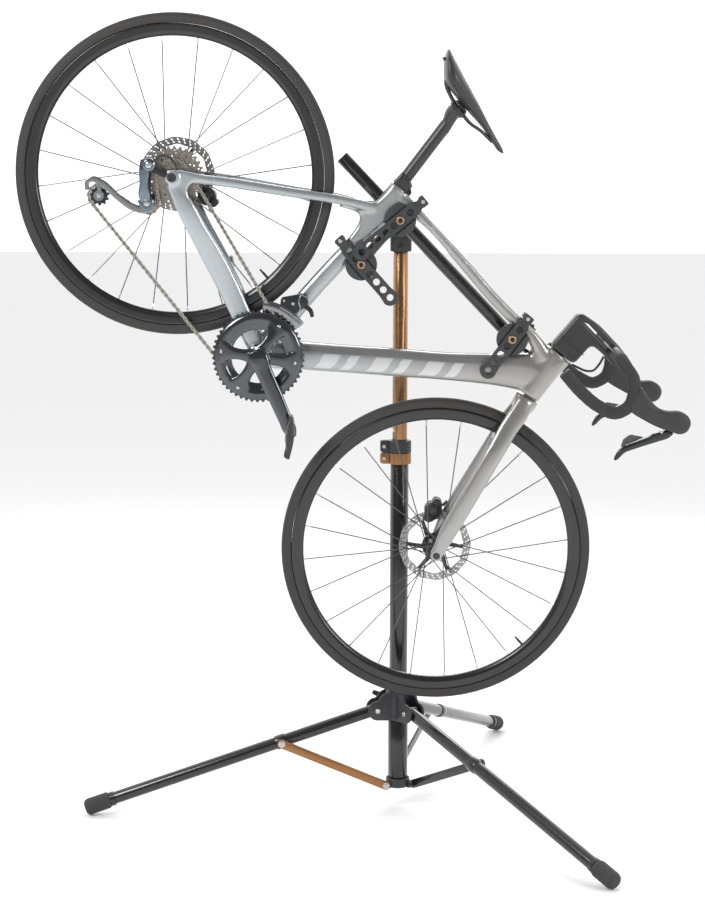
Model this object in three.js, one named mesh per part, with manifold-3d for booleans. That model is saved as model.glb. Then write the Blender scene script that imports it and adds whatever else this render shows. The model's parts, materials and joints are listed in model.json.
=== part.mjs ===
// A road bicycle clamped by its frame to a folding tripod repair stand.
// Millimetres, +Z up, +X towards the front wheel's side, +Y away from the bicycle's drive side.
import * as THREE from "three";
import { mergeVertices } from "three/addons/utils/BufferGeometryUtils.js";
import Module from "manifold-3d";

const wasm = await Module();
wasm.setup();

// ---------- driving dimensions ----------
const GAP = 0.4; // running clearance between neighbouring pieces

// Tripod
const LEGS = { left: 187.15, right: 307.15, rear: 67.15 }; // azimuth of each leg, degrees
const FOOT_REACH = 682; // mast axis to the middle of a foot
const LEG_R = 14;
const FOOT_R = 19;
const FOOT_LENGTH = 60;
const LEG_PIVOT = { r: 49, z: 228 };
const STRUT_PIVOT = { r: 30, z: 54 };
const STRUT_ON_LEG = 230; // along the leg from its pivot to the strut's screw
const STRUT_SIDE = 22; // the struts lie beside the legs by this much
const HUB_Z = [205, 272];

// Mast, three tubes that slide in each other
const MAST_BASE_Z = 45;
const SLEEVE_R = 22.5;
const LOWER_R = 20.5;
const MIDDLE_R = 18.3;
const TOP_R = 16.5;
const LOWER_TOP = 800;
const LOWER_CLAMP_Z = [792, 817];
const UPPER_CLAMP_Z = [817.5, 845];
const SOCKET_Z = [1266, 1312];

// The bicycle's place: turned nose down, and leaning a little to its drive side
const NOSE_DOWN = THREE.MathUtils.degToRad(55.42);
const LEAN = THREE.MathUtils.degToRad(3.95);
const BIKE_PLANE_Y = -171;
const LEAN_LINE_Z = 1300;
const BB = { x: -306, z: 1049.8 }; // bottom bracket before the lean

// Bicycle: x forward and z up from the bottom bracket, y to its left
const REAR_AXLE = { x: -412, z: 70 };
const FRONT_AXLE = { x: 574, z: 70 };
const TYRE_R = 338;
const TYRE_HALF = 13.4;
const RIM_R = [289.5, 316];
const ROTOR_R = 80;
const HEAD = { top: [376.5, 531], bottom: [410, 425] };
const BAR_HALF = 200;
const BAR_R = 13;
const CRANK = { x: 170, z: -33 };
const SMALL_RING_R = 72.8;
const BIG_RING_R = 99;
const SPROCKET_R = 34.6;
const JOCKEY_R = 22.5;
const JOCKEYS = { upper: [-398, -5], lower: [-468, -81] };
const CHAIN_Y = [-44.1, -38.5];
const CHAIN_HALF = 4.2;

// Frame clamp of the stand, in the bicycle's frame
const DISC_R = 34;
const BEAM_Y = 40;
const BEAM_R = 14.5;
const DISCS = [
  { at: [-67, 411], face: -38, bar: { dir: [9, -105], hook: 57, end: 105 } },
  { at: [-36, 290], face: -31, bar: { dir: [154, 19], hook: 62, end: 93 } },
  { at: [278, 466], face: -31, bar: { dir: [27, -80], hook: 50, end: 84 } },
];

// ---------- shape helpers ----------
const V = (x, y, z) => new THREE.Vector3(x, y, z);

// A geometry as a manifold solid; a manifold solid stays as it is.
function solid(shape) {
  if (!shape.isBufferGeometry) return shape;
  const bare = shape.clone();
  bare.deleteAttribute("normal");
  bare.deleteAttribute("uv");
  const merged = mergeVertices(bare, 1e-4);
  return new wasm.Manifold(
    new wasm.Mesh({
      numProp: 3,
      vertProperties: new Float32Array(merged.attributes.position.array),
      triVerts: new Uint32Array(merged.index.array),
    }),
  );
}

const join = (...shapes) => shapes.map(solid).reduce((all, next) => all.add(next));
const cut = (body, ...tools) => tools.map(solid).reduce((left, tool) => left.subtract(tool), solid(body));

function geometryOf(shape) {
  if (shape.isBufferGeometry) return shape;
  const mesh = shape.getMesh();
  const geometry = new THREE.BufferGeometry();
  geometry.setAttribute("position", new THREE.BufferAttribute(new Float32Array(mesh.vertProperties), 3));
  geometry.setIndex(new THREE.BufferAttribute(new Uint32Array(mesh.triVerts), 1));
  return geometry;
}

// Round bar from point a to point b, with another radius at b if given.
function rod(a, b, r, sides = 12, endR = r) {
  const [from, to] = [V(...a), V(...b)];
  const along = to.clone().sub(from);
  const geometry = new THREE.CylinderGeometry(endR, r, along.length(), sides);
  geometry.applyQuaternion(new THREE.Quaternion().setFromUnitVectors(V(0, 1, 0),
    along.clone().normalize()));
  return geometry.translate(...from.add(to).multiplyScalar(0.5).toArray());
}

// Disc about an axis along y, between two y values.
const disc = ([x, z], r, y0, y1, sides = 24) => rod([x, y0, z], [x, y1, z], r, sides);

// Outline of [x, z] points, with round holes [x, z, r], filled between two y values.
function plate(points, y0, y1, holes = []) {
  const shape = new THREE.Shape(points.map(([x, z]) => new THREE.Vector2(x, z)));
  for (const [x, z, r] of holes)
    shape.holes.push(new THREE.Path().absarc(x, z, r, 0, 2 * Math.PI));
  const geometry = new THREE.ExtrudeGeometry(shape, { depth: y1 - y0, bevelEnabled: false,
    curveSegments: 5 });
  return geometry.rotateX(Math.PI / 2).translate(0, y1, 0);
}

const box = (low, high) =>
  new THREE.BoxGeometry(...high.map((h, i) => h - low[i])).translate(...high.map((h,
    i) => (h + low[i]) / 2));

// The same surface with its faces pointing out.
function outward(geometry) {
  if (solid(geometry).volume() < 0) geometry.setIndex([...geometry.index.array].reverse());
  return geometry;
}

// Ring or disc turned about the y axis from [radius, y] points; a closed profile gives a ring.
function turned(profile, sides, closed) {
  const points = profile.map(([r, y]) => new THREE.Vector2(r, y));
  if (closed) points.push(points[0].clone());
  return outward(new THREE.LatheGeometry(points, sides));
}

const upright = (profile, sides, closed) => turned(profile, sides, closed).rotateX(Math.PI / 2);

// Skin through rings of points, closed at both ends.
function loft(rings) {
  const count = rings[0].length;
  const points = rings.flat();
  const [start, end] = [rings[0], rings.at(-1)].map((ring) =>
    ring.reduce((sum, p) => sum.add(p), V(0, 0, 0)).divideScalar(count));
  points.push(start, end);
  const faces = [];
  for (let i = 0; i < rings.length - 1; i++)
    for (let j = 0; j < count; j++) {
      const [a, b] = [i * count + j, i * count + ((j + 1) % count)];
      faces.push(a, b, b + count, a, b + count, a + count);
    }
  const last = (rings.length - 1) * count;
  for (let j = 0; j < count; j++) {
    const k = (j + 1) % count;
    faces.push(points.length - 2, k, j, points.length - 1, last + j, last + k);
  }
  return outward(new THREE.BufferGeometry().setFromPoints(points).setIndex(faces));
}

// Tube through stations [x, y, z, half depth, half width]: the depth lies in the bicycle's plane.
function tube(stations, sides = 12, squareness = 1) {
  const centres = stations.map(([x, y, z]) => V(x, y, z));
  return loft(centres.map((centre, i) => {
    const along = centres[Math.min(i + 1, centres.length - 1)].clone().sub(centres[Math.max(i - 1, 0)]);
    const deepWay = along.cross(V(0, 1, 0)).setY(0).normalize();
    const [deep, wide] = stations[i].slice(3);
    return Array.from({ length: sides }, (_, k) => {
      const turn = (2 * Math.PI * k) / sides;
      const bulge = (v) => Math.sign(v) * Math.abs(v) ** squareness;
      return centre.clone()
        .addScaledVector(deepWay, deep * bulge(Math.cos(turn)))
        .add(V(0, wide * bulge(Math.sin(turn)), 0));
    });
  }));
}

// Tube of constant round section along a smooth curve through the points.
function bent(points, r, steps, sides) {
  const path = new THREE.CatmullRomCurve3(points.map((p) => V(...p)), false, "centripetal");
  const ring = Array.from({ length: sides }, (_, k) => {
    const turn = (2 * Math.PI * k) / sides;
    return new THREE.Vector2(r * Math.cos(turn), r * Math.sin(turn));
  });
  return new THREE.ExtrudeGeometry(new THREE.Shape(ring), { steps, extrudePath: path,
    bevelEnabled: false });
}

const mirrored = (stations) => stations.map(([x, y, z, ...size]) => [x, -y, z, ...size]);

// ---------- scene graph ----------
const assembly = new THREE.Group();
const stand = new THREE.Group();
const leaning = new THREE.Group();
const bicycle = new THREE.Group();
leaning.position.set(0, BIKE_PLANE_Y, LEAN_LINE_Z);
leaning.rotation.x = LEAN;
bicycle.position.set(BB.x, 0, BB.z - LEAN_LINE_Z);
bicycle.rotation.y = NOSE_DOWN;
assembly.add(stand, leaning);
leaning.add(bicycle);

const finish = (color, roughness, metalness) => ({ color, roughness, metalness });
const LOOKS = {
  blackTube: finish(0x131315, 0.35, 0.6),
  copper: finish(0x9c6a3c, 0.3, 0.9),
  plastic: finish(0x2b2c2f, 0.6, 0),
  rubber: finish(0x333436, 0.85, 0),
  paint: finish(0xb9bdc0, 0.25, 0.6),
  carbon: finish(0x1c1d1f, 0.5, 0.1),
  tyre: finish(0x2a2826, 0.9, 0),
  rim: finish(0x141416, 0.35, 0.3),
  steel: finish(0x9a9a98, 0.35, 1),
  sprocket: finish(0xa39c90, 0.35, 1),
  crank: finish(0x3c4046, 0.25, 0.8),
  mech: finish(0x59626c, 0.3, 0.9),
};

function put(group, name, shape, look) {
  const mesh = new THREE.Mesh(geometryOf(shape), new THREE.MeshStandardMaterial(LOOKS[look]));
  mesh.name = name;
  group.add(mesh);
  return mesh;
}

// ---------- tripod ----------
const legSlope = (() => {
  let slope = 0.3;
  for (let i = 0; i < 8; i++) {
    const footZ = FOOT_R * Math.cos(slope) + (FOOT_LENGTH / 2) * Math.sin(slope);
    slope = Math.atan((LEG_PIVOT.z - footZ) / (FOOT_REACH - LEG_PIVOT.r));
  }
  return slope;
})();
const FOOT_END = (FOOT_REACH - LEG_PIVOT.r) / Math.cos(legSlope) + FOOT_LENGTH / 2;

// Point on a leg's axis, in the leg's own frame: x outward, y sideways, z up.
const onLeg = (s, y = 0) => [LEG_PIVOT.r + s * Math.cos(legSlope), y, LEG_PIVOT.z - s * Math.sin(legSlope)];

const legTube = () => join(
  rod(onLeg(0), onLeg(FOOT_END - FOOT_LENGTH - GAP), LEG_R, 16),
  disc([LEG_PIVOT.r, LEG_PIVOT.z], LEG_R + 0.6, -14.6, 14.6, 16),
  rod(onLeg(STRUT_ON_LEG - 12), onLeg(STRUT_ON_LEG + 12), LEG_R + 2.5, 12),
  rod(onLeg(STRUT_ON_LEG), onLeg(STRUT_ON_LEG, STRUT_SIDE - 3), 9, 12),
);

function foot() {
  const profile = [[0, 0], [FOOT_R - 3, 0], [FOOT_R, 8], [FOOT_R, FOOT_LENGTH - 9],
    [FOOT_R - 7, FOOT_LENGTH], [0, FOOT_LENGTH]];
  const cap = turned(profile, 20, false);
  const along = V(Math.cos(legSlope), 0, -Math.sin(legSlope));
  cap.applyQuaternion(new THREE.Quaternion().setFromUnitVectors(V(0, 1, 0), along));
  return cap.translate(...onLeg(FOOT_END - FOOT_LENGTH));
}

function strut() {
  const [x0, z0] = [STRUT_PIVOT.r, STRUT_PIVOT.z];
  const [x1, , z1] = onLeg(STRUT_ON_LEG);
  const [dx, dz] = [x1 - x0, z1 - z0].map((d) => (d / Math.hypot(x1 - x0, z1 - z0)) * 10);
  const round = (x, z, from) => Array.from({ length: 7 }, (_, k) => {
    const turn = from + (k * Math.PI) / 6;
    return [x + dx * Math.cos(turn) - dz * Math.sin(turn), z + dz * Math.cos(turn) + dx * Math.sin(turn)];
  });
  return plate([...round(x1, z1, -Math.PI / 2), ...round(x0, z0, Math.PI / 2)], STRUT_SIDE - 2.5,
    STRUT_SIDE + 2.5);
}

function legHub() {
  const lobes = Object.values(LEGS).map((azimuth) => {
    const { r, z } = LEG_PIVOT;
    const arc = Array.from({ length: 9 }, (_, k) => {
      const turn = Math.PI * (-0.5 + k / 8);
      return [r + 22.5 * Math.cos(turn), z + 22.5 * Math.sin(turn)];
    });
    const cheeks = plate([[0, HUB_Z[0]], ...arc, [r - 8, HUB_Z[1] - 9], [24, HUB_Z[1]],
      [0, HUB_Z[1]]], -21, 21);
    const slot = box([28.5, -15, HUB_Z[0] - 30], [90, 15, z + LEG_R + 2]);
    return cut(cheeks, slot).rotate([0, 0, azimuth]);
  });
  const core = rod([0, 0, HUB_Z[0]], [0, 0, HUB_Z[1]], 28, 24);
  return cut(join(core, ...lobes), rod([0, 0, HUB_Z[0] - 5], [0, 0, HUB_Z[1] + 5], SLEEVE_R + GAP, 24));
}

function baseCollar() {
  const ears = Object.values(LEGS).map((azimuth) => join(
    box([18, 9, STRUT_PIVOT.z - 9], [30, STRUT_SIDE - 3, STRUT_PIVOT.z + 9]),
    disc([STRUT_PIVOT.r, STRUT_PIVOT.z], 9, 9, STRUT_SIDE - 3, 14),
  ).rotate([0, 0, azimuth]));
  const cup = upright([[0, MAST_BASE_Z], [19, MAST_BASE_Z], [26, MAST_BASE_Z + 5], [27, 68],
    [SLEEVE_R + GAP, 68],
    [SLEEVE_R + GAP, 51], [0, 51]], 24, false);
  const well = rod([0, 0, 51], [0, 0, 80], SLEEVE_R + GAP, 24);
  return cut(join(cup, ...ears), well);
}

function buildTripod() {
  put(stand, "base_collar", baseCollar(), "plastic");
  put(stand, "leg_hub", legHub(), "plastic");
  for (const [name, azimuth] of Object.entries(LEGS)) {
    const side = new THREE.Group();
    side.rotation.z = THREE.MathUtils.degToRad(azimuth);
    stand.add(side);
    put(side, "leg_" + name, legTube(), "blackTube");
    put(side, "foot_" + name, foot(), "rubber");
    put(side, "strut_" + name, strut(), name === "left" ? "copper" : "blackTube");
  }
}

// ---------- mast ----------
const sleeve = (r, hole, z0, z1) => [[hole, z0], [r, z0], [r, z1], [hole, z1]];

function collar(z0, z1, r, hole) {
  const band = upright(sleeve(r, hole, z0, z1), 24, true);
  const ears = box([-r - 18, -9, z0], [-r + 4, 9, z1]);
  const slit = box([-r - 20, -1.2, z0 - 1], [-hole + 1, 1.2, z1 + 1]);
  return cut(join(band, ears), slit, rod([0, 0, z0 - 5], [0, 0, z1 + 5], hole, 24));
}

// Quick-release lever behind a collar: it turns about an upright pin and lies round the collar when shut.
function collarLever(z0, z1) {
  const outline = [[-44, 13], [-43, 20], [-36, 25], [-24, 31.5], [-10, 36], [8, 37], [8, 33],
    [-10, 32], [-24, 27],
    [-32, 20], [-33, 13], [-38, 9.8]];
  const shape = new THREE.Shape(outline.map(([x, y]) => new THREE.Vector2(x, y)));
  const depth = z1 - z0 - 5;
  return new THREE.ExtrudeGeometry(shape, { depth, bevelEnabled: false }).translate(0, 0, z0 + 2.5);
}

function buildMast() {
  const [lc, uc] = [LOWER_CLAMP_Z, UPPER_CLAMP_Z];
  put(stand, "mast_lower_tube", upright([[MIDDLE_R + 0.4, 51.5], [SLEEVE_R, 51.5], [SLEEVE_R, 204],
    [LOWER_R, 204], [LOWER_R, LOWER_TOP], [MIDDLE_R + 0.4, LOWER_TOP]], 24, true), "blackTube");
  put(stand, "lower_mast_clamp", cut(
    collar(lc[0], lc[1], 26, MIDDLE_R + 0.4),
    rod([0, 0, lc[0] - 5], [0, 0, LOWER_TOP + GAP], LOWER_R + GAP, 24),
  ), "copper");
  put(stand, "lower_clamp_lever", collarLever(...lc), "copper");
  put(stand, "mast_middle_tube", upright(sleeve(MIDDLE_R, TOP_R + 0.4, 90, uc[1] - 6), 24, true),
    "blackTube");
  put(stand, "upper_mast_clamp", cut(
    collar(uc[0], uc[1], 26, TOP_R + 0.4),
    rod([0, 0, uc[0] - 5], [0, 0, uc[1] - 6 + GAP], MIDDLE_R + GAP, 24),
  ), "plastic");
  put(stand, "upper_clamp_lever", collarLever(...uc), "plastic");
  put(stand, "mast_top_tube", upright(sleeve(TOP_R, TOP_R - 2, 560, SOCKET_Z[1] - 8), 24, true), "copper");
  put(stand, "hub_lever", join(
    rod([-22, 25.5, 240], [-22, 47, 240], 9, 14),
    tube([[-22, 50, 240, 6, 4.5], [-40, 51, 246, 7, 4.5], [-58, 51, 254, 6, 4]], 8),
  ), "plastic");
}

// The tilt head: a socket on the top tube, and a barrel across it that carries the clamp.
function buildHead() {
  const pivot = [DISCS[0].at[0], DISCS[0].at[1]];
  leaning.updateMatrix();
  bicycle.updateMatrix();
  const flip = leaning.matrix.clone().multiply(bicycle.matrix);
  const barrel = disc(pivot, 27, 59, 150, 24).applyMatrix4(flip);
  const rear = disc(pivot, 22, 149, 196, 20).applyMatrix4(flip);
  const block = box([-24, -27, SOCKET_Z[0]], [24, 19, 1347]);
  const bore = rod([0, 0, SOCKET_Z[0] - 5], [0, 0, SOCKET_Z[1] - 8 + GAP], TOP_R + GAP, 24);
  put(stand, "mast_head", cut(join(block, barrel, rear), bore), "plastic");
  put(bicycle, "tilt_lever", join(
    disc(pivot, 16, 196.5, 208, 16),
    tube([[pivot[0], 205, pivot[1], 8, 6], [-105, 207, 402, 8, 6], [-152, 207, 390, 6, 5]], 10),
  ), "plastic");
}

// ---------- frame clamp ----------
function barShape(spec) {
  const [dx, dz] = spec.bar.dir.map((d) => d / Math.hypot(...spec.bar.dir));
  const [cx, cz] = spec.at;
  const point = (s, w) => [cx + dx * s - dz * w, cz + dz * s + dx * w];
  const { hook, end } = spec.bar;
  const tip = Array.from({ length: 9 }, (_, k) => {
    const turn = Math.PI * (-0.5 + k / 8);
    return point(end + 18 * Math.cos(turn), 18 * Math.sin(turn));
  });
  const holes = [];
  for (let s = end; s > -hook + 12; s -= 22)
    if (Math.abs(s) > 9) holes.push([...point(s, 0), 7.2]);
  const [front, back] = [spec.face + 0.5, spec.face + 5.5];
  const outline = [point(-hook - 12, -15), point(end - 16, -15), ...tip, point(end - 16, 15),
    point(-hook - 12, 15)];
  const strip = plate(outline, front, back, holes);
  const jaw = plate([point(-hook - 12, -11), point(-hook, -11), point(-hook, 11), point(-hook - 12,
    11)], front, 6);
  return join(strip, jaw);
}

function discShape(spec, postEnd) {
  const [dx, dz] = spec.bar.dir.map((d) => d / Math.hypot(...spec.bar.dir));
  const [cx, cz] = spec.at;
  const corner = (s, w) => [cx + dx * s - dz * w, cz + dz * s + dx * w];
  const channel = plate([corner(-60, -15.5), corner(60, -15.5), corner(60, 18.5), corner(-60, 18.5)],
    spec.face - 5, spec.face + 5.9);
  return join(cut(disc(spec.at, DISC_R, spec.face, spec.face + 10, 32), channel),
    disc(spec.at, 12, spec.face + 9, postEnd, 16));
}

function buildClamp() {
  const [first, second, third] = DISCS;
  const slope = Math.atan2(third.at[1] - first.at[1], third.at[0] - first.at[0]);
  const along = (from, s) => [from[0] + s * Math.cos(slope), BEAM_Y, from[1] + s * Math.sin(slope)];
  const rotor = disc(first.at, 30, 22, 58, 28);
  put(bicycle, "clamp_beam", join(
    rod(along(first.at, -176), along(third.at, 22), BEAM_R, 16),
    rotor,
    disc(third.at, 20, 25, 58, 20),
  ), "blackTube");
  const way = [second.at[0] - first.at[0], second.at[1] - first.at[1]];
  const start = 30.6 / Math.hypot(...way);
  put(bicycle, "clamp_arm", join(
    rod([first.at[0] + way[0] * start, BEAM_Y, first.at[1] + way[1] * start], [second.at[0], BEAM_Y,
      second.at[1]], 12, 14),
    disc(second.at, 18, 26, 56, 20),
  ), "blackTube");
  DISCS.forEach((spec, i) => {
    put(bicycle, "clamp_disc_" + (i + 1), discShape(spec, [21.6, 25.6, 24.6][i]), "plastic");
    put(bicycle, "clamp_bar_" + (i + 1), barShape(spec), "plastic");
  });
}

// ---------- bicycle frame ----------
const headAt = (s, side = 0) => {
  const [[x0, z0], [x1, z1]] = [HEAD.top, HEAD.bottom];
  return [x0 + (x1 - x0) * s, side, z0 + (z1 - z0) * s];
};
const POST_LINE = { low: [-104, 385], high: [-176, 603] };
const postAt = (s) => [0, 1].map((i) => POST_LINE.low[i] + (POST_LINE.high[i] - POST_LINE.low[i]) * s);

function frameShape() {
  const downTube = tube([[4, 0, 6, 28, 27], [50, 0, 64, 30, 25], [109, 0, 138, 30, 22],
    [182, 0, 230, 30, 21],
    [256, 0, 322, 30, 20], [312, 0, 394, 34, 21], [362, 0, 455, 40, 23]], 12, 0.8);
  const seatTube = tube([[0, 0, 0, 24, 26], [-18, 0, 60, 22, 22], [-46, 0, 160, 20, 17],
    [-67, 0, 250, 20, 17],
    [-84, 0, 330, 20, 17], [-106, 0, 400, 23, 17.5], [-123, 0, 449, 22, 17.5]], 12, 0.85);
  const topTube = tube([[-112, 0, 432, 22, 16], [-49, 0, 450, 12, 16], [91, 0, 471.5, 11.8, 16],
    [188, 0, 483, 13, 17],
    [250, 0, 494, 13.5, 18], [310, 0, 505, 15, 20], [354, 0, 502, 18, 22]], 10, 0.8);
  const head = tube([[366, 0, 530.5, 30, 23], [378, 0, 486, 30, 23.5], [400, 0, 428, 28, 25]], 14, 0.9);
  const seatStay = [[-404, 67, 84, 10, 6], [-345, 62, 151, 10.5, 7], [-250, 43, 250, 10.5, 7],
    [-172, 27, 332, 10.5, 8], [-112, 9, 384, 11, 9]];
  const chainStay = [[-400, 67.5, 62, 14, 6], [-337, 67, 55.5, 20, 7], [-290, 60, 49, 21, 8],
    [-237, 47, 43, 23, 9],
    [-150, 32, 30, 23, 9], [-97, 29, 20, 22, 9], [-5, 27, 4, 20, 12]];
  const dropout = (y0, y1) => disc([REAR_AXLE.x, REAR_AXLE.z], 17, y0, y1, 16);
  const shell = disc([0, 0], 24, -43, 43, 20);
  const whole = join(downTube, seatTube, topTube, head, shell, dropout(71, 77), dropout(-77, -71),
    tube(seatStay, 8), tube(mirrored(seatStay), 8), tube(chainStay, 8, 0.85),
      tube(mirrored(chainStay), 8, 0.85));
  const [low, high] = [postAt(-0.2), postAt(0.6)];
  return cut(whole,
    disc([0, 0], 13, -60, 60, 16),
    rod(headAt(-0.3), headAt(1.3), 15.6, 16),
    rod([low[0], 0, low[1]], [high[0], 0, high[1]], 14, 16),
    disc([REAR_AXLE.x, REAR_AXLE.z], 6.3, -80, 80, 12));
}

function forkShape() {
  const blade = [[408, 15, 414, 20, 13], [419, 25, 392, 21, 10], [434, 35, 352, 21, 10],
    [455, 44, 308, 20, 10],
    [489, 50, 237, 20, 9.5], [523, 53, 166, 20, 9], [551, 55, 110, 18, 7.5], [566, 56, 84, 15, 5.5],
      [572, 56, 70, 14, 5.5]];
  const [top, low] = [headAt(1.035), headAt(1.28)];
  return join(
    rod([...headAt(0)], headAt(1.1), 15, 16),
    tube([[top[0] - 6, 0, top[2] + 1, 27, 24], [low[0] - 3, 0, low[2], 26, 28]], 14, 0.85),
    tube(blade, 10), tube(mirrored(blade), 10),
    disc([FRONT_AXLE.x, FRONT_AXLE.z], 13, 50.4, 61, 14),
    disc([FRONT_AXLE.x, FRONT_AXLE.z], 13, -61, -50.4, 14),
  );
}

// ---------- cockpit ----------
const HALF_BAR = [[425, 0, 631], [424, 70, 631], [418, 140, 631], [418, 176, 631], [434, 194, 630],
  [458, 200, 629],
  [483, 200, 615], [502, 200, 590], [499, 200, 560], [468, 200, 539], [420, 200, 525], [371, 200, 519]];

function cockpitShape() {
  const route = [...mirrored(HALF_BAR.slice(1)).reverse(), ...HALF_BAR];
  const stem = plate([[338, 524], [401, 544], [385, 600], [423, 610], [452, 613], [451, 640], [432, 649],
    [362, 638], [312, 619], [325, 575]], -19, 19);
  return join(stem, bent(route, BAR_R, 48, 8));
}

const HOOD = [[484, 634], [514, 637], [555, 648], [568, 672], [588, 681], [604, 677], [615, 662],
  [611, 646],
  [590, 625], [570, 612], [536, 604], [511, 611]];
const LEVER = [[571, 608.5], [598, 621], [600, 603], [588, 561], [580, 528], [583, 503], [573, 506],
  [567, 530],
  [566, 555], [570, 580]];

function hoodShape(side) {
  const centre = side * BAR_HALF;
  return cut(plate(HOOD, centre - 16, centre + 16),
    bent(mirrored(HALF_BAR.slice(3)).map(([x, y, z]) => [x, -side * y, z]), BAR_R + 1, 24, 8));
}

function buildCockpit() {
  put(bicycle, "cockpit", cockpitShape(), "carbon");
  for (const [name, side] of [["right", -1], ["left", 1]]) {
    put(bicycle, "brake_hood_" + name, hoodShape(side), "carbon");
    put(bicycle, "brake_lever_" + name, plate(LEVER, side * BAR_HALF - 7, side * BAR_HALF + 7), "mech");
  }
  put(bicycle, "brake_hose", bent([[401.5, -2, 552], [411, -4, 556], [426, -6, 563], [436, -8, 578],
    [433, -10, 594],
    [424, -12, 606]], 2.3, 14, 8), "rubber");
}

// ---------- saddle ----------
function buildSaddle() {
  const [low, high] = [postAt(0.04), postAt(1)];
  put(bicycle, "seatpost", join(
    rod([low[0], 0, low[1]], [high[0], 0, high[1]], 13.5, 16),
    tube([[-170, 0, 590, 13, 13], [-180, 0, 612, 13, 15], [-188, 0, 627, 16, 24],
      [-189, 0, 635, 17, 27]], 12),
  ), "carbon");
  const side = [[-262, 30, 652], [-245, 24, 645], [-216, 22, 643], [-176, 22, 643], [-150, 21, 645],
    [-119, 17, 652],
    [-96, 10, 656]];
  put(bicycle, "saddle_rails", bent([...side, [-90, 0, 656.5], ...mirrored(side).reverse()], 3.5,
    28, 6), "steel");
  put(bicycle, "saddle", tube([[-303, 0, 697, 3, 40], [-288, 0, 690, 8, 60], [-255, 0, 678, 15, 70],
    [-212, 0, 673, 14, 60], [-168, 0, 673, 11, 40], [-120, 0, 673, 9, 25], [-85, 0, 671, 9, 20],
    [-60, 0, 670, 5, 12]], 16, 0.8), "carbon");
}

// ---------- wheels ----------
const RIM_SIDES = 40;

function tyreShape() {
  const centre = TYRE_R - TYRE_HALF;
  const arc = Array.from({ length: 6 }, (_, k) => {
    const turn = Math.PI * (-0.2 + (1.4 * k) / 5);
    return [centre + TYRE_HALF * Math.sin(turn), -TYRE_HALF * Math.cos(turn)];
  });
  return turned([...arc, [RIM_R[1] + GAP, 9.5], [RIM_R[1] + GAP, -9.5]], RIM_SIDES, true);
}

const rimShape = () => turned([[RIM_R[0], -4.5], [RIM_R[0] + 7, -10.5], [RIM_R[1], -11.5], [RIM_R[1], 11.5],
  [RIM_R[0] + 7, 10.5], [RIM_R[0], 4.5]], RIM_SIDES, true);

// Hub with its laced spokes: a spoke's ends on the flange and on the rim are SPOKE_LEAN apart.
const SPOKE_LEAN = 1.1; // radians

function hubShape(profile, flanges, count) {
  const spokes = Array.from({ length: count }, (_, i) => {
    const flange = flanges[i % 2];
    const rimTurn = (2 * Math.PI * i) / count;
    const trailing = (i >> 1) % 2 ? 1 : -1;
    const hubTurn = rimTurn + SPOKE_LEAN * trailing;
    const [inner, outer] = [flange.r - 2, RIM_R[0] - 1.2];
    return rod([inner * Math.cos(hubTurn), flange.y + 1.4 * trailing, inner * Math.sin(hubTurn)],
      [outer * Math.cos(rimTurn), flange.y * 0.05, outer * Math.sin(rimTurn)], 1.1, 3);
  });
  return join(turned(profile, 16, false), ...spokes);
}

const rotorShape = (y) => turned([[17.5, y - 1], [ROTOR_R, y - 1], [ROTOR_R, y + 1], [17.5, y + 1]],
  32, true);

function buildWheels() {
  const rear = new THREE.Group();
  const front = new THREE.Group();
  rear.position.set(REAR_AXLE.x, 0, REAR_AXLE.z);
  front.position.set(FRONT_AXLE.x, 0, FRONT_AXLE.z);
  bicycle.add(rear, front);
  for (const [name, wheel] of [["rear", rear], ["front", front]]) {
    put(wheel, name + "_tyre", tyreShape(), "tyre");
    put(wheel, name + "_rim", rimShape(), "rim");
  }
  put(front, "front_hub_spokes", hubShape([[0, -50], [9, -50], [10, -33], [19, -30], [19, -26],
    [11, -23], [11, 22],
    [21, 24], [21, 28], [16.5, 31], [16.5, 43], [9, 44], [9, 50], [0, 50]],
  [{ r: 19, y: -28 }, { r: 21, y: 26 }], 24), "steel");
  put(rear, "rear_hub_spokes", hubShape([[0, -17.8], [22, -17.8], [23, -14], [12, -10], [12, 30],
    [23, 33], [23, 37],
    [16.5, 41], [16.5, 59], [9, 60], [9, 70.6], [0, 70.6]],
  [{ r: 22, y: -16 }, { r: 23, y: 35 }], 24), "steel");
  put(front, "front_rotor", rotorShape(39.5), "steel");
  put(rear, "rear_rotor", rotorShape(55.7), "steel");
  put(rear, "cassette", turned([[0, -70.6], [9, -70.6], [9, -60], [25, -58], [29.5, -45.5], [29.5, -36.8],
    [42, -36], [66, -23.5], [66, -20.5], [40, -19], [0, -18.3]], 28, false), "sprocket");
}

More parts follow.
